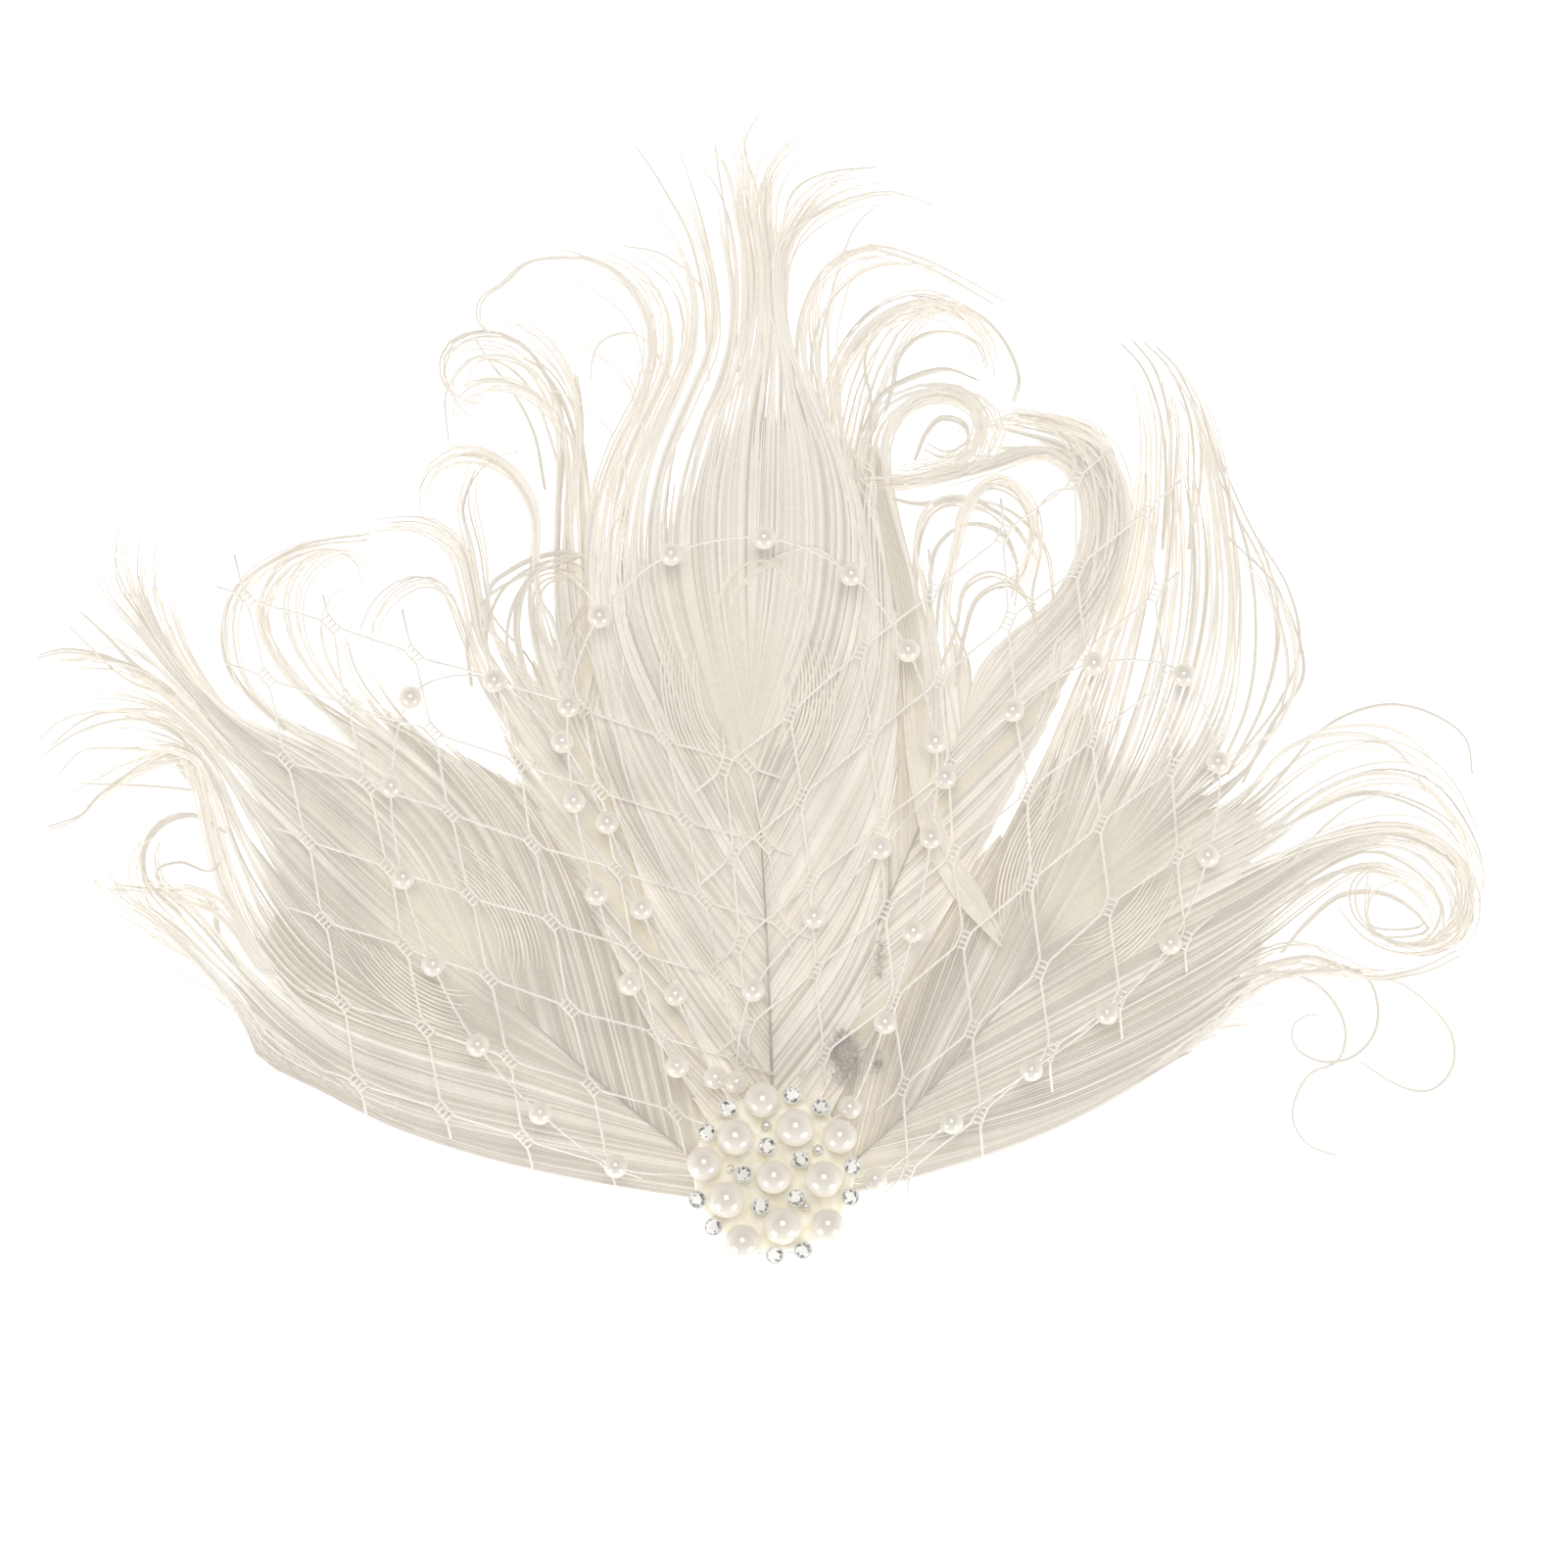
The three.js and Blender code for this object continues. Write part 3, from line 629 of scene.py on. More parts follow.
                (0.22, 99, [(-11, 25), (-19, 36)]),
                (0.35, 99, [(-16.5, 46), (-28.5, 66), (-31.5, 79.5)]),
                (0.48, 74, [
                    (-18.5, 57.5), (-29, 79.5), (-32, 99.5), (-31.5, 112.5), (-27.5, 124.5),
                    (-23.5, 132), (-21.5, 140), (-24, 150), (-31, 155.5), (-38.5, 157.5),
                    (-43.5, 157),
                ]),
                (0.6, 64, [
                    (-16.5, 72.5), (-26, 96), (-25, 114.5), (-19.5, 129.5), (-15.5, 137.5),
                    (-14.5, 145), (-16.5, 151), (-21.5, 155), (-28.5, 157),
                ]),
                (0.7, 58, [
                    (-14, 82.5), (-19.5, 102.5), (-18, 121), (-13, 133.5), (-9.5, 142.5),
                    (-10, 151), (-12, 159.5), (-14.5, 167.5), (-16.5, 174.5),
                ]),
                (0.755, 56, [
                    (-12, 85.5), (-16, 106.5), (-13, 124.5), (-9, 136), (-7.5, 146.5),
                    (-8.5, 155.5), (-10.5, 164.5), (-13.5, 170.5),
                ]),
            ]),
            (0.45, [
                (0.79, 56, [
                    (-11.5, 88.5), (-14.5, 108.5), (-11.5, 126), (-7, 137.5), (-5.5, 148.5),
                    (-6, 159.5), (-8, 167.5), (-11.5, 172.5), (-16.5, 174),
                ]),
                (0.88, 56, [
                    (-8, 92.5), (-9, 114.5), (-6, 131), (-3.5, 144.5), (-4, 157.5), (-6, 165),
                    (-6.5, 172.5), (-8, 179.5),
                ]),
                (1, 48, [
                    (-3.5, 106), (-2.5, 127.5), (-1, 144.5), (-1.5, 157.5), (-2.5, 166), (-1, 172),
                    (3.5, 176.5), (8.5, 177.5),
                ]),
                (0.95, 54, [
                    (1.5, 99.5), (2, 122.5), (1, 141), (-0.5, 156), (-1.5, 165), (0.5, 171),
                    (3.5, 175), (8, 177),
                ]),
                (0.88, 64, [
                    (6, 96), (6.5, 117.5), (3, 134.5), (0.5, 147.5), (1, 155.5), (4.5, 161),
                    (11.5, 164.5), (19, 165.5), (26, 162.5),
                ]),
                (0.8, 70, [
                    (10, 92.5), (11.5, 114.5), (7, 129.5), (2.5, 141), (1, 151), (2.5, 159.5),
                    (8.5, 167.5), (17.5, 171),
                ]),
            ]),
            (0.2, [
                (0.7, 76, [
                    (13.5, 86), (16, 107.5), (12, 122), (7, 132), (5, 142), (8, 152), (16, 157),
                    (25, 154.5), (36.5, 148),
                ]),
            ]),
            (0.4, [
                (0.6, 99, [(17.5, 79.5), (19, 102.5), (16.5, 116), (12, 126)]),
                (0.48, 99, [(15, 61), (21, 82.5), (20.5, 99.5)]),
                (0.35, 99, [(13.5, 42.5), (19, 59.5), (21.5, 71)]),
                (0.22, 99, [(11, 25), (18, 36)]),
                (0.08, 99, [(7, 11), (13, 22)]),
            ]),
        ],
    },
]

# Loose strands beyond the vanes: how many, how far they part, and the points they pass
WISPS = {
    "feather_left": [
        (2, 1, [
            (-98.5, 64.5), (-101, 67.5), (-103.5, 70.5), (-106.5, 70), (-111.5, 67), (-116, 63.5),
            (-119, 60), (-124, 58),
        ]),
        (1, 1, [
            (-97.5, 63.5), (-102.5, 69.5), (-106.5, 71.5), (-113.5, 72), (-118.5, 71.5),
            (-122.5, 67.5),
        ]),
        (1, 1, [(-96, 64.5), (-106.5, 65.5), (-119, 66)]),
        (2, 1.5, [(-100, 74.5), (-110, 77), (-118.5, 75), (-125, 71)]),
        (1, 1.5, [(-102.5, 78.5), (-113.5, 78.5), (-121.5, 77), (-126, 73.5)]),
        (3, 1.5, [(-102.5, 81), (-110, 87), (-115, 92), (-119, 95.5)]),
        (2, 1, [(-103.5, 82), (-113.5, 87.5), (-121.5, 89), (-126, 88)]),
        (2, 0.8, [(-91.5, 34.5), (-95, 40), (-96, 45), (-98.5, 47.5), (-106.5, 47.5), (-114, 48)]),
        (3, 0.8, [
            (-93.5, 57.5), (-99, 60.5), (-104, 59.5), (-107, 56), (-107.5, 51), (-105.5, 47.5),
            (-101, 43.5),
        ]),
        (1, 0.5, [(-104, 47), (-105.5, 51), (-101.5, 52.5), (-96.5, 51), (-94.5, 52.5)]),
        (3, 1.2, [
            (-83.5, 75), (-92.5, 85), (-94, 92.5), (-92.5, 98.5), (-88.5, 102.5), (-80, 107),
            (-70, 108.5),
        ]),
    ],
    "feather_right": [
        (1, 0.5, [
            (81.5, 61), (86.5, 67), (93.5, 75), (100, 78.5), (106.5, 79.5), (113.5, 77.5),
            (118.5, 73.5), (119.5, 67.5),
        ]),
        (2, 0.6, [
            (76.5, 32.5), (83.5, 35), (91.5, 36.5), (96.5, 35), (101.5, 33), (106.5, 33.5),
            (111.5, 35), (116.5, 37.5),
        ]),
        (1, 0.4, [
            (78.5, 32), (83.5, 33.5), (88.5, 33.5), (93.5, 31), (97, 26), (97.5, 22), (96, 18.5),
            (91.5, 16.5), (89, 12.5), (88.5, 8.5), (91, 4.5), (96, 2.5),
        ]),
        (1, 0.3, [
            (91.5, 36.5), (101, 33), (103, 28.5), (102.5, 23.5), (99, 19.5), (93.5, 18.5), (89, 21),
            (88.5, 24.5), (91, 26.5), (93, 26.5),
        ]),
        (1, 0.3, [
            (91.5, 36.5), (101, 33), (106.5, 32), (111.5, 28.5), (115.5, 23.5), (116, 18.5),
            (114, 15), (111, 13.5), (106.5, 14.5), (100, 18.5),
        ]),
        (2, 0.8, [
            (86.5, 37), (91, 42.5), (96.5, 47), (103.5, 47.5), (108.5, 45), (111, 42), (106.5, 41),
            (101.5, 42), (101, 47), (101.5, 51),
        ]),
        (2, 1, [
            (80, 66), (85, 76), (90.5, 84.5), (88.5, 94.5), (85, 101), (80, 106), (77.5, 108.5),
        ]),
        (2, 1, [(85, 57.5), (93.5, 62), (100, 64.5), (106.5, 64), (115, 60), (118.5, 56)]),
        (1, 0.5, [(88.5, 52.5), (95, 59.5), (101.5, 63.5), (108.5, 64.5)]),
        (2, 1, [(77.5, 67.5), (83.5, 79.5), (86, 91), (84, 102.5), (79, 112.5), (75, 121)]),
        (2, 1, [(75, 66), (81, 79.5), (82.5, 92.5), (81, 106), (76.5, 119.5), (73.5, 129.5)]),
        (1, 1, [(78.5, 69.5), (86.5, 80), (90, 89.5), (88, 99.5), (82.5, 108.5)]),
        (2, 1, [(66.5, 106), (68, 119.5), (67.5, 129.5), (65, 137.5), (61.5, 142)]),
        (2, 1, [(71, 106), (72, 119.5), (71, 129.5), (67.5, 137.5), (63.5, 141.5)]),
        (2, 0.8, [
            (116.5, 54.5), (118.5, 47.5), (116.5, 42), (111, 38.5), (104, 39.5), (99, 43.5),
            (98.5, 48.5), (101.5, 52),
        ]),
        (1, 0.8, [(118.5, 52.5), (119, 44.5), (115, 38.5), (107.5, 37), (101, 39.5), (96.5, 44.5)]),
        (1, 0.6, [
            (111, 49.5), (114, 44.5), (111.5, 39.5), (106, 38.5), (101.5, 42.5), (102.5, 47.5),
            (106.5, 49.5),
        ]),
    ],
    "feather_back_left": [
        (1, 0.5, [(-39, 116), (-41, 126), (-45, 133.5), (-48.5, 138), (-51, 142)]),
        (1, 0.5, [
            (-36.5, 119.5), (-38.5, 126), (-41, 132.5), (-46, 137.5), (-51, 138.5), (-54, 136),
            (-56, 132.5), (-55.5, 124.5),
        ]),
        (2, 0.8, [(-32, 99.5), (-33, 119.5), (-33, 129.5), (-34, 136)]),
        (3, 0.7, [
            (-49, 92.5), (-48.5, 99.5), (-45, 102.5), (-41, 104.5), (-35, 105.5), (-31, 103.5),
            (-32, 97.5), (-35, 92.5),
        ]),
        (2, 0.7, [(-41, 76), (-44, 84.5), (-45.5, 91), (-43.5, 98.5), (-39, 102.5), (-33.5, 102)]),
        (2, 0.6, [
            (-51.5, 82.5), (-52, 91), (-49, 97.5), (-43.5, 101), (-36.5, 103.5), (-31.5, 105),
        ]),
        (3, 0.8, [
            (-38.5, 76), (-42.5, 84.5), (-44, 92.5), (-42.5, 99.5), (-38.5, 103.5), (-33.5, 104.5),
        ]),
        (2, 0.8, [
            (-43.5, 72.5), (-47.5, 82.5), (-49, 91), (-46.5, 98.5), (-41.5, 102.5), (-36, 104),
            (-31.5, 102.5),
        ]),
        (2, 0.8, [
            (-33.5, 84.5), (-38.5, 89.5), (-40.5, 95), (-38.5, 100), (-33.5, 101), (-31, 98.5),
        ]),
    ],
    "feather_back_right": [
        (2, 0.6, [
            (13.5, 139.5), (19, 145.5), (26.5, 148.5), (35, 146), (40, 140.5), (42, 134.5),
            (41, 131),
        ]),
        (1, 0.5, [(16.5, 126), (16.5, 132), (15.5, 137), (16.5, 142), (19, 145), (25, 147.5)]),
        (2, 0.6, [
            (19, 129.5), (20.5, 134), (21.5, 138.5), (25, 142), (30, 143), (35, 141), (36.5, 137),
        ]),
        (3, 0.8, [(15, 126), (18.5, 132), (23.5, 135), (30, 136.5), (35, 134.5)]),
        (2, 0.5, [
            (24, 121), (26, 126), (28.5, 128.5), (32.5, 127.5), (33, 124.5), (29.5, 122.5),
            (26, 124),
        ]),
        (2, 0.6, [(18.5, 116), (19, 121), (20.5, 127), (24, 131.5), (29, 132.5)]),
        (1, 0.5, [(45, 91), (44, 97.5), (45.5, 106), (45, 112.5), (48.5, 116), (51.5, 116)]),
        (2, 0.6, [(28.5, 86), (31, 92.5), (32.5, 99.5), (36.5, 102), (41.5, 100), (43.5, 96)]),
        (2, 0.8, [
            (26, 91), (24, 99.5), (24.5, 108.5), (26.5, 112.5), (32.5, 114.5), (40, 112.5),
            (46, 106), (47.5, 97.5),
        ]),
        (2, 0.8, [
            (27.5, 89.5), (28.5, 99.5), (31, 106), (31.5, 112), (36.5, 117), (41.5, 115),
            (44, 108.5),
        ]),
        (2, 0.8, [(31, 82.5), (32.5, 91), (35, 97.5), (40, 99.5), (45, 95)]),
        (2, 0.8, [(26.5, 96), (27.5, 106), (32.5, 110), (38.5, 108.5), (41.5, 102.5), (41, 96)]),
        (2, 1, [(18.5, 115), (25, 113.5), (32.5, 114.5), (40, 111), (45, 104.5)]),
    ],
    "feather_middle": [
        (1, 0.4, [
            (-16.5, 132.5), (-19, 137.5), (-21, 140.5), (-23.5, 142.5), (-26.5, 142.5),
            (-29.5, 141), (-31, 137.5), (-31, 134.5),
        ]),
        (2, 0.6, [
            (-22.5, 132.5), (-21, 141), (-24, 149.5), (-29.5, 154.5), (-36.5, 155.5),
            (-42.5, 154.5), (-46.5, 151), (-50, 148.5), (-50.5, 145), (-49, 143),
        ]),
        (1, 0.5, [
            (-11, 134.5), (-11.5, 142.5), (-12, 149.5), (-15, 153.5), (-20, 156.5), (-25.5, 157.5),
        ]),
        (1, 0.6, [
            (-11, 141), (-12, 149.5), (-14.5, 159.5), (-18, 166), (-21, 171), (-23.5, 174.5),
        ]),
        (1, 0.6, [(-6, 136), (-6.5, 144.5), (-7.5, 156), (-8.5, 164.5), (-9.5, 171), (-10, 175)]),
        (2, 0.6, [
            (-2, 139.5), (-2.5, 149.5), (-3.5, 159.5), (-4.5, 166), (-4.5, 172.5), (-5.5, 176.5),
        ]),
        (1, 0.5, [(0, 144.5), (-1, 159.5), (-3, 167.5), (-5, 174.5), (-4, 177.5), (-2.5, 180)]),
        (2, 0.8, [
            (7.5, 124.5), (4.5, 132.5), (4, 142.5), (6, 149.5), (9.5, 154.5), (16, 157),
            (22.5, 155.5), (29, 152.5), (37.5, 147.5),
        ]),
        (1, 0.5, [
            (9, 127.5), (6.5, 134.5), (7, 142), (10, 148.5), (16, 153.5), (23.5, 154.5),
            (27.5, 154),
        ]),
        (1, 0.5, [(7.5, 132.5), (8, 141), (9, 146), (11.5, 155), (14, 161), (17, 164)]),
        (1, 0.5, [(1.5, 144.5), (1, 152.5), (1.5, 160), (3.5, 167), (9, 170), (17.5, 171)]),
        (2, 0.4, [
            (2, 74), (1.5, 81), (4, 86), (6, 92.5), (4, 99.5), (-1.5, 104), (-6.5, 102), (-9.5, 96),
        ]),
        (2, 0.4, [
            (14, 100), (7.5, 105.5), (1.5, 104.5), (-2.5, 102), (-6, 98.5), (-7, 93.5), (-5, 89.5),
        ]),
    ],
}

# A flat strap of barbs that lies over the middle feather's edge
STRAP = {
    "feather": "feather_middle",
    "count": 22,
    "width": [(0, 0.8), (0.2, 4.0), (0.45, 3.6), (0.7, 2.3), (1, 0.8)],
    "path": [(39.5, 38), (33.5, 46.5), (28, 55.5), (25, 66), (23.5, 75.5), (23, 86)],
    "place_noise": 0.02,
    "drift": 0.4,
    "starts": (0, 0.15),
    "ends": (0.8, 1),
    "rise": 0.85,
    "rise_noise": 0.2,
    "tone": 0.75,
    "tone_noise": 0.05,
    "cream": (0.4, 0.6),
}

# Grey down at the quills' feet: centre and half sizes of each patch. The last patch is painted
# shade, grey down laid in a dark slit of shadow between the feathers.
DOWN_PATCHES = [(12.2, 19, 2.6, 4.8), (17.6, 18.8, 0.8, 2.5), (18.1, 36, 0.5, 4)]

# Knots of each net stand on a slanted lattice, its steps running across and along. rows: the
# first and last knot of each row.
NETS = [
    {
        "name": "net_left",
        "layer": 0,
        "origin": (-89.6, 97.9),
        "across": (14.2, -4.8),
        "along": (3.2, -13.8),
        "rows": [(0, 6), (0, 6), (0, 6), (0, 5), (0, 5), (0, 4), (0, 4)],
    },
    {
        "name": "net_right",
        "layer": 1,
        "origin": (11.2, -9.6),
        "across": (11.8, 9.8),
        "along": (-1.3, 14.7),
        "rows": [(1, 5), (1, 5), (0, 5), (-1, 5), (-1, 5), (-1, 5), (-1, 4)],
    },
]

# Routes of the pearl strings. bare: thread before the first bead. pitch: from bead to bead.
# lift: above the lower net.
STRINGS = [
    {
        "name": "pearl_string_left",
        "bare": 11,
        "pitch": 15.7,
        "lift": 0.0,
        "route": [
            (-4, 7.5), (-7.5, 12.8), (-10.2, 16.6), (-17, 31), (-29, 61), (-37, 74.5), (-49, 84),
            (-61, 81.5), (-65, 66), (-63, 50), (-58, 35.5), (-50.5, 22), (-39.5, 10), (-26.5, 1),
            (-15, -0.5), (-8.5, -1),
        ],
    },
    {
        "name": "pearl_string_middle",
        "bare": 17,
        "pitch": 16.2,
        "lift": NET_LAYER + CROSSING_LIFT,
        "route": [
            (-5.5, 6.5), (-10, 11), (-17, 19), (-25, 33.5), (-30.5, 49), (-34, 64.5), (-34.5, 81),
            (-29, 95), (-17, 105), (-1, 107.5), (13, 101.5), (23, 88), (27.5, 72), (26.5, 56),
            (23.5, 40.5), (18.5, 24.5), (13.5, 12), (11, 9.8), (6, 6),
        ],
    },
    {
        "name": "pearl_string_right",
        "bare": 9,
        "pitch": 16.2,
        "lift": NET_LAYER,
        "route": [
            (-2, 8.3), (-5.4, 13.5), (-6.2, 14.6), (-4, 30), (6.5, 43), (18, 55), (28.5, 66.5),
            (40, 78), (53, 86), (69, 85), (75.5, 70), (74, 54.5), (67.5, 39), (56.5, 27), (43, 17),
            (28.5, 7.5), (16.3, -1.6), (14.7, -1.8), (8.5, -2),
        ],
    },
]

# Big pearls of the brooch: place and diameter
PEARLS = [
    (-1.9, 12.4, 6.0), (-6.5, 6.2, 6.2), (3.7, 7.8, 6.4), (11.2, 6.3, 5.8), (-11.8, 1.7, 5.8),
    (0, -0.5, 5.8), (8.5, -0.9, 6.2), (-8, -4.4, 6.2), (1.5, -8.8, 6.4), (9.2, -8.7, 5.7),
    (-5.3, -11.6, 6.1),
]
STONE_PLACES = [
    (-7.7, 11), (-11.3, 7), (3.1, 13.3), (8, 11.3), (-1.1, 4.7), (-5.1, -0.1), (4.6, 2.4),
    (13.3, 1.2), (-12.9, -4.4), (-2.2, -5.5), (3.8, -4.1), (13, -3.9), (-10.2, -9),
    (0.2, -13.8), (5, -12.9),
]
# Small silver studs between the pearls: place and radius
STUDS = [(-1.25, 8.0, 1.0), (-7.3, 0.7, 0.75), (7.5, 3.9, 1.0), (5.5, -5.7, 0.75)]


# Meshes from arrays


def make_mesh(name, points, faces, smooth=True):
    mesh = bpy.data.meshes.new(name)
    mesh.from_pydata((np.asarray(points) * MM).tolist(), [], faces)
    if smooth:
        mesh.shade_smooth()
    return mesh


def add_piece(name, mesh, material, nodes):
    piece = bpy.data.objects.new(name, mesh)
    bpy.context.scene.collection.objects.link(piece)
    mesh.materials.append(material)
    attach(piece, "root")
    if nodes:
        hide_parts(*nodes)


def tube_faces(rings, sides):
    """Faces of one closed tube: its wall in quads and a cap at each end."""
    faces = []
    for ring in range(rings - 1):
        low, high = ring * sides, (ring + 1) * sides
        for side in range(sides):
            beside = (side + 1) % sides
            faces.append([low + side, low + beside, high + beside, high + side])
    faces.append(list(range(sides))[::-1])
    faces.append([(rings - 1) * sides + side for side in range(sides)])
    return faces


class Heap:
    """Gathers closed meshes, and numbers for each of their points, into one piece."""

    def __init__(self):
        self.points = []
        self.faces = []
        self.values = {}
        self.count = 0

    def add(self, points, faces, copies=1, **values):
        """Adds points with their faces, or equal copies of them that follow each other."""
        points = np.asarray(points, float)
        step = len(points) // copies
        for copy in range(copies):
            shift = self.count + copy * step
            self.faces.extend([[corner + shift for corner in face] for face in faces])
        self.points.append(points)
        self.count += len(points)
        for key, value in values.items():
            self.values.setdefault(key, []).append(value)

    def mesh(self, name, smooth=True):
        mesh = make_mesh(name, np.concatenate(self.points), self.faces, smooth)
        for key, value in self.values.items():
            numbers = np.concatenate(value).astype(np.float32)
            mesh.attributes.new(key, "FLOAT", "POINT").data.foreach_set("value", numbers)
        return mesh


def smoothstep(value, low, high):
    share = np.clip((value - low) / (high - low), 0, 1)
    return share * share * (3 - 2 * share)


def at_stops(share, stops):
    """A value read between stops, each of them a share and its value."""
    return np.interp(share, *zip(*stops))


def curve_points(path, count):
    """Points evenly spaced on a smooth curve through a path (Catmull-Rom, centripetal)."""
    path = np.asarray(path, float)
    ends = np.vstack([2 * path[0] - path[1], path, 2 * path[-1] - path[-2]])
    t = np.linspace(0, 1, SPAN_POINTS, endpoint=False)[:, None]
    dense = []
    for k in range(len(path) - 1):
        a, b, c, d = ends[k : k + 4]
        legs = [np.linalg.norm(q - p) for p, q in ((a, b), (b, c), (c, d))]
        steps = [math.sqrt(max(leg, SHORTEST_STEP)) for leg in legs]
        out = (b - a) / steps[0] - (c - a) / (steps[0] + steps[1]) + (c - b) / steps[1]
        back = (c - b) / steps[1] - (d - b) / (steps[1] + steps[2]) + (d - c) / steps[2]
        out, back = out * steps[1], back * steps[1]
        dense.append(
            b * (2 * t**3 - 3 * t**2 + 1) + out * (t**3 - 2 * t**2 + t)
            + c * (3 * t**2 - 2 * t**3) + back * (t**3 - t**2)
        )
    dense = np.vstack([*dense, path[-1:]])
    run = np.concatenate([[0], np.cumsum(np.linalg.norm(np.diff(dense, axis=0), axis=1))])
    at = np.linspace(0, run[-1], count)
    return np.stack([np.interp(at, run, dense[:, k]) for k in range(dense.shape[1])], 1), run[-1]


def tube_points(path, radius, sides):
    """Rings of points round a path, kept from twisting."""
    path = np.asarray(path, float)
    radius = np.broadcast_to(np.asarray(radius, float), (len(path),))
    way = np.gradient(path, axis=0)
    way /= np.linalg.norm(way, axis=1)[:, None]
    across = np.cross(way[0], (0, 0, 1.0))
    if np.linalg.norm(across) < SHORTEST_STEP:
        across = np.array([1.0, 0, 0])
    rings = []
    turn = np.linspace(0, 2 * math.pi, sides, endpoint=False)
    for k in range(len(path)):
        across = across - way[k] * (across @ way[k])
        across /= np.linalg.norm(across)
        up = np.cross(across, way[k])
        circle = np.cos(turn)[:, None] * across - np.sin(turn)[:, None] * up
        rings.append(path[k] + radius[k] * circle)
    return np.vstack(rings)


def add_tube(heap, path, radius, sides):
    heap.add(tube_points(path, radius, sides), tube_faces(len(path), sides))


def lathe(profile, sides):
    """A closed turned form about Z. The profile runs from the axis outwards, up and back to it."""
    points = [(0, 0, profile[0][1])]
    turn = np.linspace(0, 2 * math.pi, sides, endpoint=False)
    for radius, z in profile[1:-1]:
        points.extend(zip(radius * np.cos(turn), radius * np.sin(turn), np.full(sides, z)))
    points.append((0, 0, profile[-1][1]))
    faces = []
    rings = len(profile) - 2
    for side in range(sides):
        beside = (side + 1) % sides
        faces.append([0, 1 + beside, 1 + side])
        for ring in range(rings - 1):
            low, high = 1 + ring * sides, 1 + (ring + 1) * sides
            faces.append([low + side, low + beside, high + beside, high + side])
        last = 1 + (rings - 1) * sides
        faces.append([last + side, last + beside, len(points) - 1])
    return np.array(points), faces


def ball(radius, sides, bands):
    angles = np.linspace(-math.pi / 2, math.pi / 2, bands + 1)
    return lathe([(radius * math.cos(a), radius * math.sin(a)) for a in angles], sides)


# Materials


def new_material(name):
    made = bpy.data.materials.new(name)
    made.use_nodes = True
    return made, made.node_tree, made.node_tree.nodes["Principled BSDF"]


def add_node(tree, kind, **values):
    node = tree.nodes.new(kind)
    for key, value in values.items():
        setattr(node, key, value)
    return node


def mottle_group():
    """Soft uneven colour and height from noise."""
    tree = bpy.data.node_groups.new("soft_mottle", "ShaderNodeTree")
    for name, kind in (("Low", "NodeSocketColor"), ("High", "NodeSocketColor"),
                       ("Scale", "NodeSocketFloat"), ("Stretch", "NodeSocketVector")):
        tree.interface.new_socket(name, in_out="INPUT", socket_type=kind)
    tree.interface.new_socket("Color", in_out="OUTPUT", socket_type="NodeSocketColor")
    tree.interface.new_socket("Height", in_out="OUTPUT", socket_type="NodeSocketFloat")
    given = add_node(tree, "NodeGroupInput")
    out = add_node(tree, "NodeGroupOutput")
    place = add_node(tree, "ShaderNodeTexCoord")
    stretch = add_node(tree, "ShaderNodeVectorMath", operation="MULTIPLY")
    noise = add_node(tree, "ShaderNodeTexNoise")
    noise.inputs["Detail"].default_value = 4
    spread = add_node(tree, "ShaderNodeMapRange")
    spread.inputs["From Min"].default_value = 0.3
    spread.inputs["From Max"].default_value = 0.7
    mix = add_node(tree, "ShaderNodeMix", data_type="RGBA")
    link = tree.links.new
    link(place.outputs["Object"], stretch.inputs[0])
    link(given.outputs["Stretch"], stretch.inputs[1])
    link(stretch.outputs["Vector"], noise.inputs["Vector"])
    link(given.outputs["Scale"], noise.inputs["Scale"])
    link(noise.outputs["Fac"], spread.inputs["Value"])
    link(spread.outputs["Result"], mix.inputs["Factor"])
    link(given.outputs["Low"], mix.inputs["A"])
    link(given.outputs["High"], mix.inputs["B"])
    link(mix.outputs["Result"], out.inputs["Color"])
    link(noise.outputs["Fac"], out.inputs["Height"])
    return tree


MOTTLE = mottle_group()


def add_mottle(tree, low, high, scale, stretch=(1, 1, 1)):
    node = add_node(tree, "ShaderNodeGroup", node_tree=MOTTLE)
    node.inputs["Low"].default_value = (*low, 1)
    node.inputs["High"].default_value = (*high, 1)
    node.inputs["Scale"].default_value = scale
    node.inputs["Stretch"].default_value = stretch
    return node


def add_bump(tree, shader, height, distance, strength):
    bump = add_node(tree, "ShaderNodeBump")
    bump.inputs["Distance"].default_value = distance
    bump.inputs["Strength"].default_value = strength
    tree.links.new(height, bump.inputs["Height"])
    tree.links.new(bump.outputs["Normal"], shader.inputs["Normal"])


def add_glow(shader, colour, strength):
    shader.inputs["Emission Color"].default_value = (*colour, 1)
    shader.inputs["Emission Strength"].default_value = strength


def mottled_material(name, low, high, scale, roughness, bump, stretch=(1, 1, 1), metallic=0.0):
    """A finish of soft uneven colour, with a faint bump from the same mottle."""
    made, tree, shader = new_material(name)
    mottle = add_mottle(tree, low, high, scale, stretch)
    tree.links.new(mottle.outputs["Color"], shader.inputs["Base Color"])
    add_bump(tree, shader, mottle.outputs["Height"], bump, strength=0.6)
    shader.inputs["Roughness"].default_value = roughness
    shader.inputs["Metallic"].default_value = metallic
    return made, tree, shader


def glowing_material(name, glow_colour, glow_strength, **finish):
    made, _, shader = mottled_material(name, **finish)
    add_glow(shader, glow_colour, glow_strength)
    return made


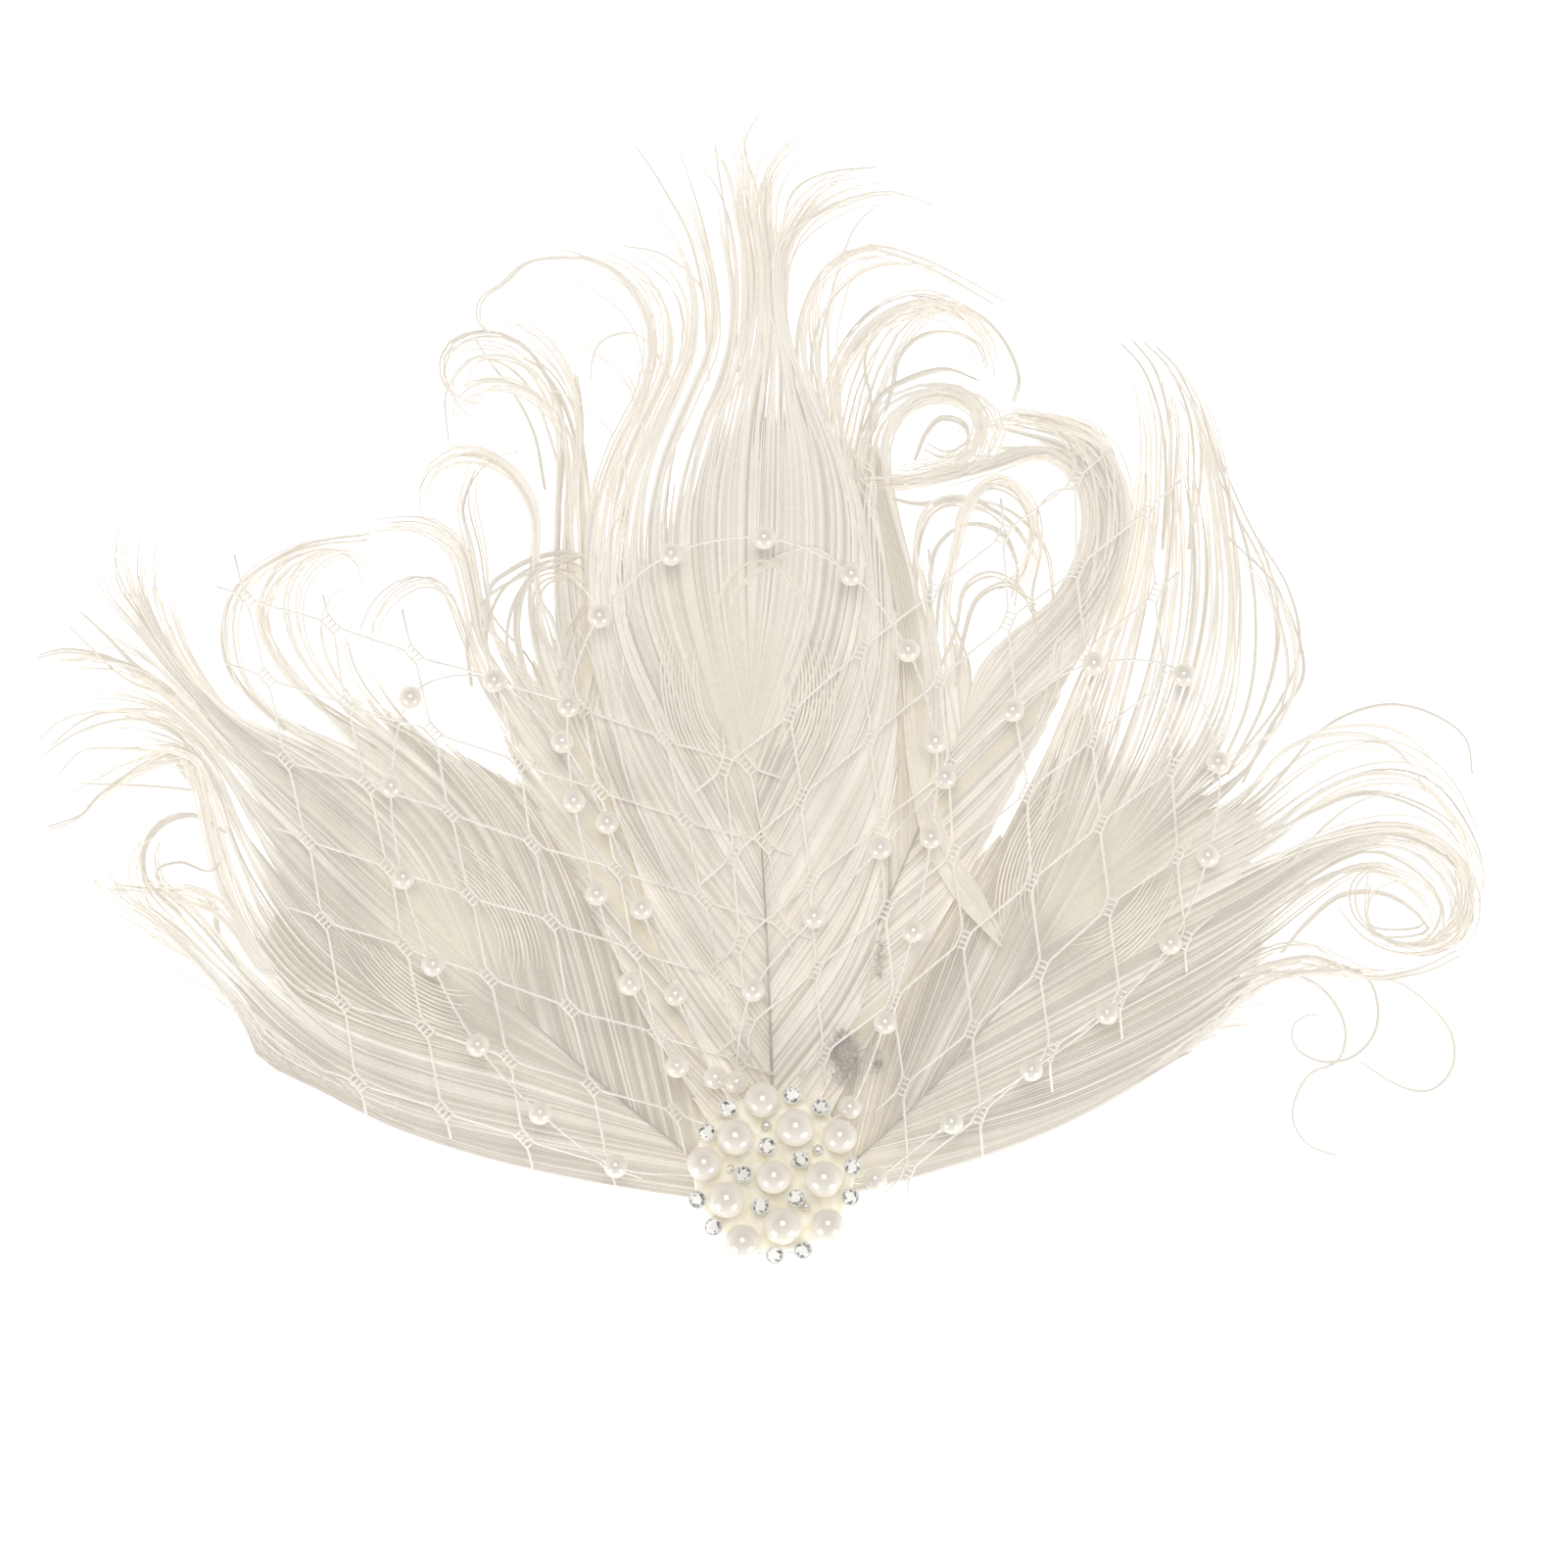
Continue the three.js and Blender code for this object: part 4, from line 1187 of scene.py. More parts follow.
def feather_material():
    """Bleached barbs: greyer where they lie close, ivory where they part, cream in streaks. The
    grey is partly painted shade, the ivory partly painted light, and all of it has a painted glow.
    """
    made, tree, shader = new_material("bleached_feather")
    tone = add_node(tree, "ShaderNodeAttribute", attribute_name="tone")
    cream = add_node(tree, "ShaderNodeAttribute", attribute_name="cream")
    pale = add_node(tree, "ShaderNodeMix", data_type="RGBA")
    pale.inputs["A"].default_value = (0.62, 0.573, 0.508, 1)
    pale.inputs["B"].default_value = (0.97, 0.92, 0.845, 1)
    warm = add_node(tree, "ShaderNodeMix", data_type="RGBA")
    warm.inputs["B"].default_value = (0.82, 0.765, 0.64, 1)
    mottle = add_mottle(tree, low=(0.94, 0.94, 0.94), high=(1, 1, 1), scale=1600)
    speck = add_node(tree, "ShaderNodeMix", data_type="RGBA", blend_type="MULTIPLY")
    speck.inputs["Factor"].default_value = 1
    link = tree.links.new
    link(tone.outputs["Fac"], pale.inputs["Factor"])
    link(pale.outputs["Result"], warm.inputs["A"])
    link(cream.outputs["Fac"], warm.inputs["Factor"])
    link(warm.outputs["Result"], speck.inputs["A"])
    link(mottle.outputs["Color"], speck.inputs["B"])
    link(speck.outputs["Result"], shader.inputs["Base Color"])
    # Painted glow: the barbs' own colour glows a little and lifts their shade
    link(speck.outputs["Result"], shader.inputs["Emission Color"])
    shader.inputs["Emission Strength"].default_value = 0.12
    add_bump(tree, shader, mottle.outputs["Height"], distance=0.0001, strength=0.4)
    shader.inputs["Roughness"].default_value = 0.65
    shader.inputs["Sheen Weight"].default_value = 0.1
    return made


def pearl_material():
    """Nacre with a painted glow that lifts its shade, and a coat that weakens towards the rim."""
    made, tree, shader = mottled_material(
        "ivory_pearl",
        low=(0.51, 0.475, 0.42),
        high=(0.59, 0.555, 0.50),
        scale=260,
        roughness=0.25,
        bump=0.00001,
    )
    rim = add_node(tree, "ShaderNodeLayerWeight")
    gloss = add_node(tree, "ShaderNodeMapRange")
    gloss.inputs["From Min"].default_value = 0.3
    gloss.inputs["From Max"].default_value = 0.7
    gloss.inputs["To Min"].default_value = 1.0
    gloss.inputs["To Max"].default_value = 0.25
    tree.links.new(rim.outputs["Facing"], gloss.inputs["Value"])
    tree.links.new(gloss.outputs["Result"], shader.inputs["Coat Weight"])
    shader.inputs["Coat Roughness"].default_value = 0.06
    shader.inputs["Coat IOR"].default_value = 1.8
    # Painted glow, which lifts the pearl's shade
    add_glow(shader, (1, 0.925, 0.8), 0.28)
    return made


def glass_material(name, colour, ior, roughness, clear, facets=False):
    """Part-clear glass of uneven gloss. With facets, each face has painted glints: a dark or bright
    shade of its own, which also glows a little.
    """
    made, tree, shader = new_material(name)
    shader.inputs["Base Color"].default_value = (*colour, 1)
    if facets:
        # Painted glints and reflections: each facet's own shade, which also glows
        shade = add_node(tree, "ShaderNodeAttribute", attribute_name="facet")
        tree.links.new(shade.outputs["Color"], shader.inputs["Base Color"])
        tree.links.new(shade.outputs["Color"], shader.inputs["Emission Color"])
        shader.inputs["Emission Strength"].default_value = 0.22
    shader.inputs["Transmission Weight"].default_value = clear
    shader.inputs["IOR"].default_value = ior
    low, high = 0.5 * roughness, 1.5 * roughness
    mottle = add_mottle(tree, low=(low,) * 3, high=(high,) * 3, scale=900)
    tree.links.new(mottle.outputs["Color"], shader.inputs["Roughness"])
    return made


FEATHER = feather_material()
QUILL, _, _ = mottled_material(
    "quill",
    low=(0.50, 0.47, 0.44),
    high=(0.66, 0.62, 0.57),
    scale=400,
    roughness=0.4,
    bump=0.00005,
)
DOWN, _, _ = mottled_material(
    "grey_down",
    low=(0.60, 0.56, 0.53),
    high=(0.76, 0.72, 0.69),
    scale=900,
    roughness=0.8,
    bump=0.0001,
)
# Net thread with a faint painted glow that lifts its shade
NET_THREAD = glowing_material(
    "net_thread",
    glow_colour=(1.0, 0.95, 0.86),
    glow_strength=0.06,
    low=(0.88, 0.84, 0.77),
    high=(0.95, 0.915, 0.85),
    scale=2500,
    roughness=0.55,
    bump=0.0001,
)
PEARL = pearl_material()
CLEAR_THREAD = glass_material(
    "clear_thread", colour=(0.98, 0.95, 0.90), ior=1.45, roughness=0.3, clear=0.05
)
CRYSTAL = glass_material(
    "crystal", colour=(0.98, 0.985, 0.99), ior=1.62, roughness=0.03, clear=0.15, facets=True
)
# Pale gilt with a painted glow, which lifts the shade between the pearls
PALE_GILT = glowing_material(
    "pale_gilt",
    glow_colour=(1.0, 0.94, 0.76),
    glow_strength=0.1,
    low=(0.84, 0.79, 0.60),
    high=(1.0, 0.98, 0.90),
    scale=700,
    roughness=0.3,
    bump=0.00003,
)
SILVERING, _, _ = mottled_material(
    "silvering",
    low=(0.80, 0.80, 0.77),
    high=(0.93, 0.93, 0.90),
    scale=700,
    roughness=0.25,
    bump=0.00002,
    metallic=0.4,
)
CLIP_STEEL, _, _ = mottled_material(
    "clip_steel",
    low=(0.55, 0.55, 0.55),
    high=(0.72, 0.72, 0.72),
    scale=900,
    roughness=0.28,
    bump=0.00004,
    stretch=(8, 0.25, 8),
    metallic=1.0,
)


# Feathers


def as_plane(points):
    """Places in the XY plane as complex numbers."""
    points = np.asarray(points, float)
    return points[..., 0] + 1j * points[..., 1]


def quill_at(feather, share):
    start, middle, end = as_plane(feather["quill"])
    control = 2 * middle - (start + end) / 2
    return (1 - share) ** 2 * start + 2 * share * (1 - share) * control + share**2 * end


def quill_end(feather):
    """The end of a feather's quill, and the way that it points there."""
    end = quill_at(feather, 1.0)
    way = end - quill_at(feather, QUILL_LAST_STRETCH)
    return end, way / abs(way)


def vane_height(feather, plane):
    """Underside of a feather's flat fan, drooping along its axis."""
    angle = math.radians(feather["axis"])
    along = plane.real * math.cos(angle) + plane.imag * math.sin(angle)
    drops = feather["sag"] * (SAG_STATIONS - SAG_STATIONS[0]) ** 2
    slope = (drops[2] - drops[1]) / (SAG_STATIONS[2] - SAG_STATIONS[1])

    def drop(u):
        return np.interp(u, SAG_STATIONS, drops) + slope * np.maximum(u - SAG_STATIONS[2], 0)

    smooth = 0.25 * drop(along - SAG_BLEND) + 0.5 * drop(along) + 0.25 * drop(along + SAG_BLEND)
    level = FIRST_LAYER_Z + feather["layer"] * LAYER_PITCH - smooth
    return np.maximum(level, TABLE_GAP)


def on_vane(feather, plane, rise):
    return np.stack([plane.real, plane.imag, vane_height(feather, plane) + rise], -1)


def guide_lines(feather):
    """Evenly spaced plane points of each guide, its length, where its barbs part, and its lock."""
    lines, lengths, parts, locks = [], [], [], []
    for lock, (_, guides) in enumerate(feather["locks"]):
        for root, part, path in guides:
            foot = quill_at(feather, root)
            line, length = curve_points([(foot.real, foot.imag), *path], GUIDE_POINTS)
            lines.append(as_plane(line))
            lengths.append(length)
            parts.append(min(part, length))
            locks.append(lock)
    return np.array(lines), np.array(lengths), np.array(parts), np.array(locks)


def between_guides(lines, at, along):
    """Plane points at places between guides (at) and along them (0 to 1)."""
    row = np.clip(np.floor(at).astype(int), 0, len(lines) - 2)
    column = np.clip(np.floor(along * (GUIDE_POINTS - 1)).astype(int), 0, GUIDE_POINTS - 2)
    across, down = at - row, along * (GUIDE_POINTS - 1) - column
    near = lines[row, column] * (1 - down) + lines[row, column + 1] * down
    far = lines[row + 1, column] * (1 - down) + lines[row + 1, column + 1] * down
    return near * (1 - across) + far * across


def add_strands(heap, lines, widths, rolls, tone, cream):
    """Closed three-sided strands along lines (strand by ring by 3)."""
    strands, rings = lines.shape[:2]
    way = np.gradient(lines, axis=1)
    way /= np.linalg.norm(way, axis=2)[..., None] + DIVISOR_FLOOR
    flat = np.stack([-way[..., 1], way[..., 0], np.zeros_like(way[..., 0])], 2)
    flat /= np.linalg.norm(flat, axis=2)[..., None] + DIVISOR_FLOOR
    up = np.cross(way, flat)
    roll = rolls[:, None, None]
    side = flat * np.cos(roll) + up * np.sin(roll)
    rise = up * np.cos(roll) - flat * np.sin(roll)
    half = np.broadcast_to(widths, (strands, rings))[..., None] / 2
    ridge = lines + rise * half * 2 * BARB_HEIGHT_SHARE
    corners = np.stack([lines + side * half, lines - side * half, ridge], 2)
    tone = np.clip(np.broadcast_to(tone, (strands, rings)), 0, 1)
    cream = np.broadcast_to(cream, (strands, rings))
    heap.add(
        corners.reshape(-1, 3), tube_faces(rings, 3), strands,
        tone=np.repeat(tone.ravel(), 3), cream=np.repeat(cream.ravel(), 3),
    )


def eye_places(feather, plane):
    """How far places lie inside the feather's eye, and in the cup of combed barbs around it."""
    end, way = quill_end(feather)
    local = (plane - end) * np.conj(way) - EYE["ahead"]
    ring = np.hypot(local.real / EYE["deep"], local.imag / EYE["wide"])
    around = smoothstep(ring, *EYE["cup_inner"]) * (1 - smoothstep(ring, *EYE["cup_outer"]))
    cup = around * (1 - smoothstep(local.real, *EYE["cup_front"]))
    return 1 - smoothstep(ring, *EYE["edge"]), cup


class Vane:
    """One feather's guides, with what is needed to place and shade barbs between them."""

    def __init__(self, feather):
        self.feather = feather
        self.lines, self.lengths, self.parts, self.locks = guide_lines(feather)
        self.rows = np.arange(len(self.lines))
        reach = np.minimum(SPREAD_REACH / self.lengths, SPREAD_LIMIT)
        spread = between_guides(self.lines, self.rows.astype(float), reach)
        self.run = np.concatenate([[0], np.cumsum(np.abs(np.diff(spread)))])
        streaks = np.arange(0, self.run[-1] + 2 * STREAK_SPACING, STREAK_SPACING)
        self.streaks = streaks, rng.random(len(streaks))

    def at_run(self, run):
        return np.interp(run, self.run, self.rows)

    def length(self, at):
        return np.interp(at, self.rows, self.lengths)

    def split(self, at):
        """Whether a place lies between two locks, and the guide before it."""
        before = np.clip(np.floor(at).astype(int), 0, len(self.locks) - 2)
        return self.locks[before] != self.locks[before + 1], before

    def part(self, at):
        """How far from the quill barbs part. Between two locks the sooner of the two holds."""
        split, before = self.split(at)
        sooner = np.minimum(self.parts[before], self.parts[before + 1])
        return np.where(split, sooner, np.interp(at, self.rows, self.parts))

    def shade(self, run, reach, beyond, plane):
        """Tone and cream: greyer near the quill by painted shade, paler where barbs part, partly by
        painted light, warm in broad streaks.
        """
        feather = self.feather
        streak = smoothstep(np.interp(run, *self.streaks), *STREAK_EDGE)[:, None]
        cream = LEAST_CREAM + feather["cream"] * streak * (1 - smoothstep(beyond, *CREAM_FADES))
        # Painted shade at the quill
        tone = feather["tone"] - ROOT_PAINTED_SHADE["tone"] * np.exp(-reach / ROOT_PAINTED_SHADE["reach"])
        # Paler where barbs part, partly painted light
        tone = tone + (FRINGE_TONE - tone) * smoothstep(beyond, *TONE_PALES)
        if feather["eye"]:
            inside, cup = eye_places(feather, plane)
            tone = tone + EYE["tone"] * inside - EYE["cup_shade"] * cup
            cream = cream + EYE["cream"] * inside
        return tone, cream


def sheet_faces(rows, columns):
    """Faces of a closed sheet: its underside, its top and its rim."""
    top = rows * columns
    faces = []
    for row in range(rows - 1):
        for column in range(columns - 1):
            k = row * columns + column
            faces.append([k, k + 1, k + columns + 1, k + columns])
            faces.append([top + k, top + k + columns, top + k + columns + 1, top + k + 1])
    rim = [(0, c) for c in range(columns)]
    rim += [(r, columns - 1) for r in range(1, rows)]
    rim += [(rows - 1, c) for c in range(columns - 2, -1, -1)]
    rim += [(r, 0) for r in range(rows - 2, 0, -1)]
    rim = [r * columns + c for r, c in rim]
    for k, after in zip(rim, rim[1:] + rim[:1]):
        faces.append([k, top + k, top + after, after])
    return faces


def add_web(heap, vane):
    """Thin sheets under the close barbs, with ragged edges where they part."""
    columns = WEB["columns"]
    for guide in vane.rows[:-1]:
        first, last = vane.run[guide], vane.run[guide + 1]
        rows = max(2, int((last - first) / WEB["spacing"]))
        run = np.linspace(first, last, rows)
        at = np.linspace(guide, guide + 1, rows)[:, None]
        part = vane.part(np.clip(at, guide + WEB["margin"], guide + (1 - WEB["margin"])))
        edge = part + rng.uniform(*WEB["ragged"], at.shape)
        end = np.clip(edge / vane.length(at), *WEB["ends"])
        along = np.linspace(0, 1, columns)[None, :] * end
        plane = between_guides(vane.lines, at + 0 * along, along)
        reach = along * vane.length(at)
        tone, cream = vane.shade(run, reach, reach - part, plane)
        # Painted shade: the web is darker than the barbs over it, as in the gaps between them
        tone = tone + rng.normal(0, WEB["tone_noise"], (rows, 1)) - WEB["shade"]
        under = on_vane(vane.feather, plane, WEB["rise"])
        over = on_vane(vane.feather, plane, WEB["rise"] + WEB["thickness"])
        points = np.concatenate([under.reshape(-1, 3), over.reshape(-1, 3)])
        tone, cream = np.tile(tone.ravel(), 2), np.tile(cream.ravel(), 2)
        heap.add(points, sheet_faces(rows, columns), tone=np.clip(tone, 0, 1), cream=cream)


def drawn_sway(draws):
    return draws[:, DRAWN["sway_x"]] + 1j * draws[:, DRAWN["sway_y"]]


def add_barbs(heap, vane):
    """Barbs of the vane: close at the quill, then drawn into tufts and locks that part."""
    feather, lines = vane.feather, vane.lines
    count = int(vane.run[-1] / BARB_SPACING)
    run = np.linspace(0, vane.run[-1], count)
    key = np.floor(run / TUFT_SPACING).astype(int)
    home = vane.at_run(run)
    tuft = vane.at_run((key + 0.5) * TUFT_SPACING)
    # A tuft between two locks goes to the nearer one
    lock = np.where(vane.split(tuft)[0], np.round(tuft), tuft)
    shares = np.array([share for share, _ in feather["locks"]])
    run_on = shares[vane.locks[np.round(lock).astype(int)]]
    tuft_draws = rng.normal(0, 1, (key.max() + 1, DRAW_COLUMNS))[key]
    barb_draws = rng.normal(0, 1, (count, DRAW_COLUMNS))
    length, part = vane.length(home), vane.part(home)
    short = (rng.random(count) > run_on) & (part < LAST_PART * length)
    for chosen, rings in ((short, SHORT_RINGS), (~short, LONG_RINGS)):
        pick = np.flatnonzero(chosen)
        shared, own = tuft_draws[pick], barb_draws[pick]
        if rings == SHORT_RINGS:
            end = part[pick] + rng.uniform(*SHORT_ENDS, len(pick))
            end = np.clip(end / length[pick], SHORTEST_SHARE, 1)
        else:
            end = rng.uniform(*LONG_ENDS, len(pick))
        share = np.linspace(0, 1, rings)
        along = share * end[:, None]
        reach = along * length[pick, None]
        beyond = reach - part[pick, None]
        to_tuft = TUFT_PULL * smoothstep(beyond, *TUFT_GATHERS)
        to_lock = smoothstep(beyond, *LOCK_GATHERS)
        at = home[pick, None] + to_tuft * (tuft - home)[pick, None]
        at = at + to_lock * (lock - tuft)[pick, None]
        plane = between_guides(lines, np.clip(at, 0, len(lines) - 1), along)
        sway = SWAY["shared"] * drawn_sway(shared) + SWAY["own"] * drawn_sway(own)
        bend = sway[:, None] * (SWAY["root"] + SWAY["tip"] * along**2)
        plane = plane + bend * smoothstep(beyond, *SWAY_GROWS)
        turn = pick % len(COMB_PAINTED_SHADES)
        level = BARB_LEVEL["lowest"] + BARB_LEVEL["step"] * turn
        level = level + rng.uniform(0, BARB_LEVEL["spread"], len(pick))
        lift = np.abs(shared[:, DRAWN["lift"]]) * LIFT["shared"]
        lift = lift + np.abs(own[:, DRAWN["lift"]]) * LIFT["own"]
        rise = level[:, None] + lift[:, None] * smoothstep(beyond, *LIFT_GROWS)
        tone, cream = vane.shade(run[pick], reach, beyond, plane)
        # Painted shade between close barbs, darker on the lower levels, fading where they part
        comb_shade = COMB_PAINTED_SHADES[turn][:, None] * (1 - smoothstep(beyond, *COMB_FADES))
        noise = TONE_NOISE["shared"] * shared[:, DRAWN["tuft_tone"]]
        noise = noise + TONE_NOISE["own"] * own[:, DRAWN["barb_tone"]]
        tone = tone + comb_shade + noise[:, None]
        points = on_vane(feather, plane, rise)
        rolls = ROLL_NOISE * own[:, DRAWN["roll"]]
        add_strands(heap, points, at_stops(share, BARB_WIDTHS), rolls, tone, cream)


def add_eye(heap, feather):
    """Fine combed barbs that cup the feather's eye on both sides of the quill's end."""
    barb = EYE_BARBS
    end, way = quill_end(feather)
    plane = []
    for side in (1, -1):
        for k in range(barb["count"]):
            size = barb["size"] + barb["growth"] * k / barb["count"]
            first = rng.uniform(*barb["first_turn"])
            last = rng.uniform(*barb["last_turn"]) - barb["turn_step"] * k
            turn = np.radians(np.linspace(first, last, SHORT_RINGS))
            arc = EYE["deep"] * np.cos(turn) + 1j * side * EYE["wide"] * np.sin(turn)
            plane.append(end + way * (EYE["ahead"] + size * arc))
    plane = np.array(plane)
    count = len(plane)
    rise = barb["rise"] + rng.uniform(0, barb["rise_noise"], count)[:, None]
    lines = on_vane(feather, plane, rise)
    widths = barb["width"] * at_stops(np.linspace(0, 1, SHORT_RINGS), barb["taper"])
    tone = rng.normal(barb["tone"], barb["tone_noise"], (count, 1))
    add_strands(heap, lines, widths, np.zeros(count), tone, barb["cream"])


def add_wisps(heap, feather):
    """Loose strands that leave the locks, alone or a few together, and curl."""
    t = np.linspace(0, 1, WISP["rings"])
    rows = []
    for count, spread, path in WISPS[feather["name"]]:
        line, _ = curve_points(path, WISP["rings"])
        for k in range(count):
            drift = rng.normal(0, spread, 2) * (k > 0)
            bow = rng.normal(0, spread * WISP["bow"], 2) * (k > 0)
            rows.append(line + np.outer(t, drift) + np.outer(np.sin(math.pi * t), bow))
    plane = as_plane(rows)
    count = len(plane)
    lift = rng.uniform(0, WISP["lift"], count)[:, None]
    rise = WISP["rise"] + lift * smoothstep(t, *WISP["lift_grows"])
    lines = on_vane(feather, plane, rise)
    tone = rng.normal(feather["loose_tone"], WISP["tone_noise"], (count, 1))
    rolls = rng.normal(0, WISP["roll_noise"], count)
    add_strands(heap, lines, at_stops(t, WISP["widths"]), rolls, tone, WISP["cream"])


def add_strap(heap, feather):
    """Strands side by side along one path."""
    line, _ = curve_points(STRAP["path"], LONG_RINGS)
    t = np.linspace(0, 1, LONG_RINGS)
    way = np.gradient(line, axis=0)
    way /= np.linalg.norm(way, axis=1)[:, None]
    flat = np.stack([-way[:, 1], way[:, 0]], 1)
    width = at_stops(t, STRAP["width"])
    rows = []
    for place in np.linspace(-0.5, 0.5, STRAP["count"]):
        offset = (place + rng.normal(0, STRAP["place_noise"])) * width
        offset = offset + rng.normal(0, STRAP["drift"]) * t**2
        strand = line + flat * offset[:, None]
        start = rng.uniform(*STRAP["starts"])
        part = np.linspace(start, rng.uniform(*STRAP["ends"]), LONG_RINGS)
        rows.append(np.stack([np.interp(part, t, strand[:, k]) for k in range(2)], 1))
    plane = as_plane(rows)
    count = len(plane)
    rise = STRAP["rise"] + rng.uniform(0, STRAP["rise_noise"], count)[:, None]
    lines = on_vane(feather, plane, rise)
    tone = rng.normal(STRAP["tone"], STRAP["tone_noise"], (count, 1))
    rolls = rng.normal(0, ROLL_NOISE, count)
    cream = rng.uniform(*STRAP["cream"], (count, 1))
    add_strands(heap, lines, at_stops(t, BARB_WIDTHS), rolls, tone, cream)


def quill_mesh(feather):
    radii = QUILL_FORM["radii"]
    share = np.linspace(0, radii[-1][0], QUILL_FORM["rings"])
    line = on_vane(feather, quill_at(feather, share), QUILL_FORM["rise"])
    heap = Heap()
    add_tube(heap, line, at_stops(share, radii), QUILL_FORM["sides"])
    return heap.mesh(f"{feather['name']}_quill")


def down_mesh():
    """Short crossing hairs of grey down, in lens-shaped patches."""
    hair = DOWN_HAIR
    share = np.linspace(0, 1, hair["rings"])
    rows = []
    for x, y, wide, tall in DOWN_PATCHES:
        for _ in range(int(hair["density"] * wide * tall)):
            radius = math.sqrt(rng.random())
            angle = rng.uniform(0, 2 * math.pi)
            foot = complex(x + wide * radius * math.cos(angle), y + tall * radius * math.sin(angle))
            heading = math.radians(hair["heading"] + rng.normal(0, hair["heading_noise"]))
            turn = np.exp(1j * (heading + rng.normal(0, hair["curl"]) * share))
            steps = turn[:-1] * rng.uniform(*hair["step"])
            rows.append(foot + np.concatenate([[0], np.cumsum(steps)]))
    plane = np.array(rows)
    z = STACK_Z + hair["rise"] + hair["lift"] * share + np.zeros(plane.shape)
    lines = np.stack([plane.real, plane.imag, z], -1)
    widths = hair["width"] - hair["taper"] * share
    rolls = rng.normal(0, hair["roll_noise"], len(plane))
    heap = Heap()
    add_strands(heap, lines, widths, rolls, hair["tone"], hair["cream"])
    return heap.mesh("down")


for feather in FEATHERS:
    name = feather["name"]
    barbs = Heap()
    vane = Vane(feather)
    add_web(barbs, vane)
    add_barbs(barbs, vane)
    add_wisps(barbs, feather)
    if feather["eye"]:
        add_eye(barbs, feather)
    if name == STRAP["feather"]:
        add_strap(barbs, feather)
    barbs_mesh = barbs.mesh(f"{name}_barbs", smooth=False)
    add_piece(f"{name}_barbs", barbs_mesh, FEATHER, [name])
    add_piece(f"{name}_quill", quill_mesh(feather), QUILL, [])
add_piece("feather_down", down_mesh(), DOWN, [])


# Nets


def net_height(x):
    return NET_Z - NET_FALL["drop"] * smoothstep(np.abs(x), NET_FALL["from"], NET_FALL["to"])


def on_net(net, plane, lift=0.0):
    plane = np.asarray(plane)
    z = net_height(plane.real) + net["layer"] * NET_LAYER + NET["slab"] / 2 + lift
    return np.stack([plane.real, plane.imag, z], -1)


def from_corner(corner, other):
    """The point where a bend begins, on the way from a corner to another point."""
    leg = abs(other - corner)
    return corner + (other - corner) / leg * min(NET["bend"], NET["bend_limit"] * leg)


def rounded(points):
    """Rounds the corners of a plane path, each by a short bend."""
    path = [points[0]]
    for before, corner, after in zip(points[:-2], points[1:-1], points[2:]):
        enter, leave = from_corner(corner, before), from_corner(corner, after)
        path += [enter, (enter + 2 * corner + leave) / 4, leave]
    return np.array(path + [points[-1]])


def net_mesh(net):
    """Threads that zigzag across and along, two by two side by side in each knot."""
    across, along, origin = (complex(*net[key]) for key in ("across", "along", "origin"))
    lean = across / abs(across) + along / abs(along)
    lean /= abs(lean)
    side = 1j * lean * math.copysign(1, (along * np.conj(lean)).imag)
    knots = {}
    for row, (first, last) in enumerate(net["rows"]):
        for k in range(first, last + 1):
            uneven = complex(*rng.normal(0, NET["knot_noise"], 2))
            centre = origin + k * across + row * along + uneven
            if abs(centre) > NET["clear"]:
                knots[k, row] = centre
    half = NET["knot"] / 2
    heap = Heap()

    def lane(key, inner):
        """A thread's stretch in a knot, on the side that it enters by."""
        shift = side * NET["lane"] * (1 if inner else -1)
        return [knots[key] + shift - lean * half, knots[key] + shift + lean * half]

    # The thread on the along side came from the knot before it in its row, and leaves along.
    starts = [(key, True) for key in knots if (key[0] - 1, key[1]) not in knots]
    starts += [(key, False) for key in knots if (key[0], key[1] - 1) not in knots]
    for key, inner in starts:
        enter = across if inner else along
        points = [lane(key, inner)[0] - enter / abs(enter) * rng.uniform(*NET["loose_end"])]
        while key in knots:
            points += lane(key, inner)
            leave = along if inner else across
            key = (key[0], key[1] + 1) if inner else (key[0] + 1, key[1])
            inner = not inner
        points.append(points[-1] + leave / abs(leave) * rng.uniform(*NET["loose_end"]))
        add_tube(heap, on_net(net, rounded(points)), NET["strand"] / 2, THREAD_SIDES)
    for centre in knots.values():
        for place in np.linspace(-NET["rung_span"], NET["rung_span"], NET["rungs"]):
            middle = centre + lean * half * place
            rung = np.array([middle - side * NET["lane"], middle, middle + side * NET["lane"]])
            add_tube(heap, on_net(net, rung, NET["rung_lift"]), NET["rung"] / 2, THREAD_SIDES)
    return heap.mesh(net["name"])


for net in NETS:
    add_piece(f"{net['name']}_threads", net_mesh(net), NET_THREAD, [net["name"]])


# Pearl strings


def string_point(place, lift):
    """A point of a string's route, on the nets or dipping under the brooch's rim."""
    x, y = place
    on_top = net_height(x) + NET["slab"] + SEAT_GAP + BEAD_RADIUS + lift
    under_rim = BROOCH_Z + BROOCH["lift"] / 2
    out = smoothstep(math.hypot(x, y), STRING_DIP["inner"], STRING_DIP["outer"])
    return (x, y, under_rim + (on_top - under_rim) * out)


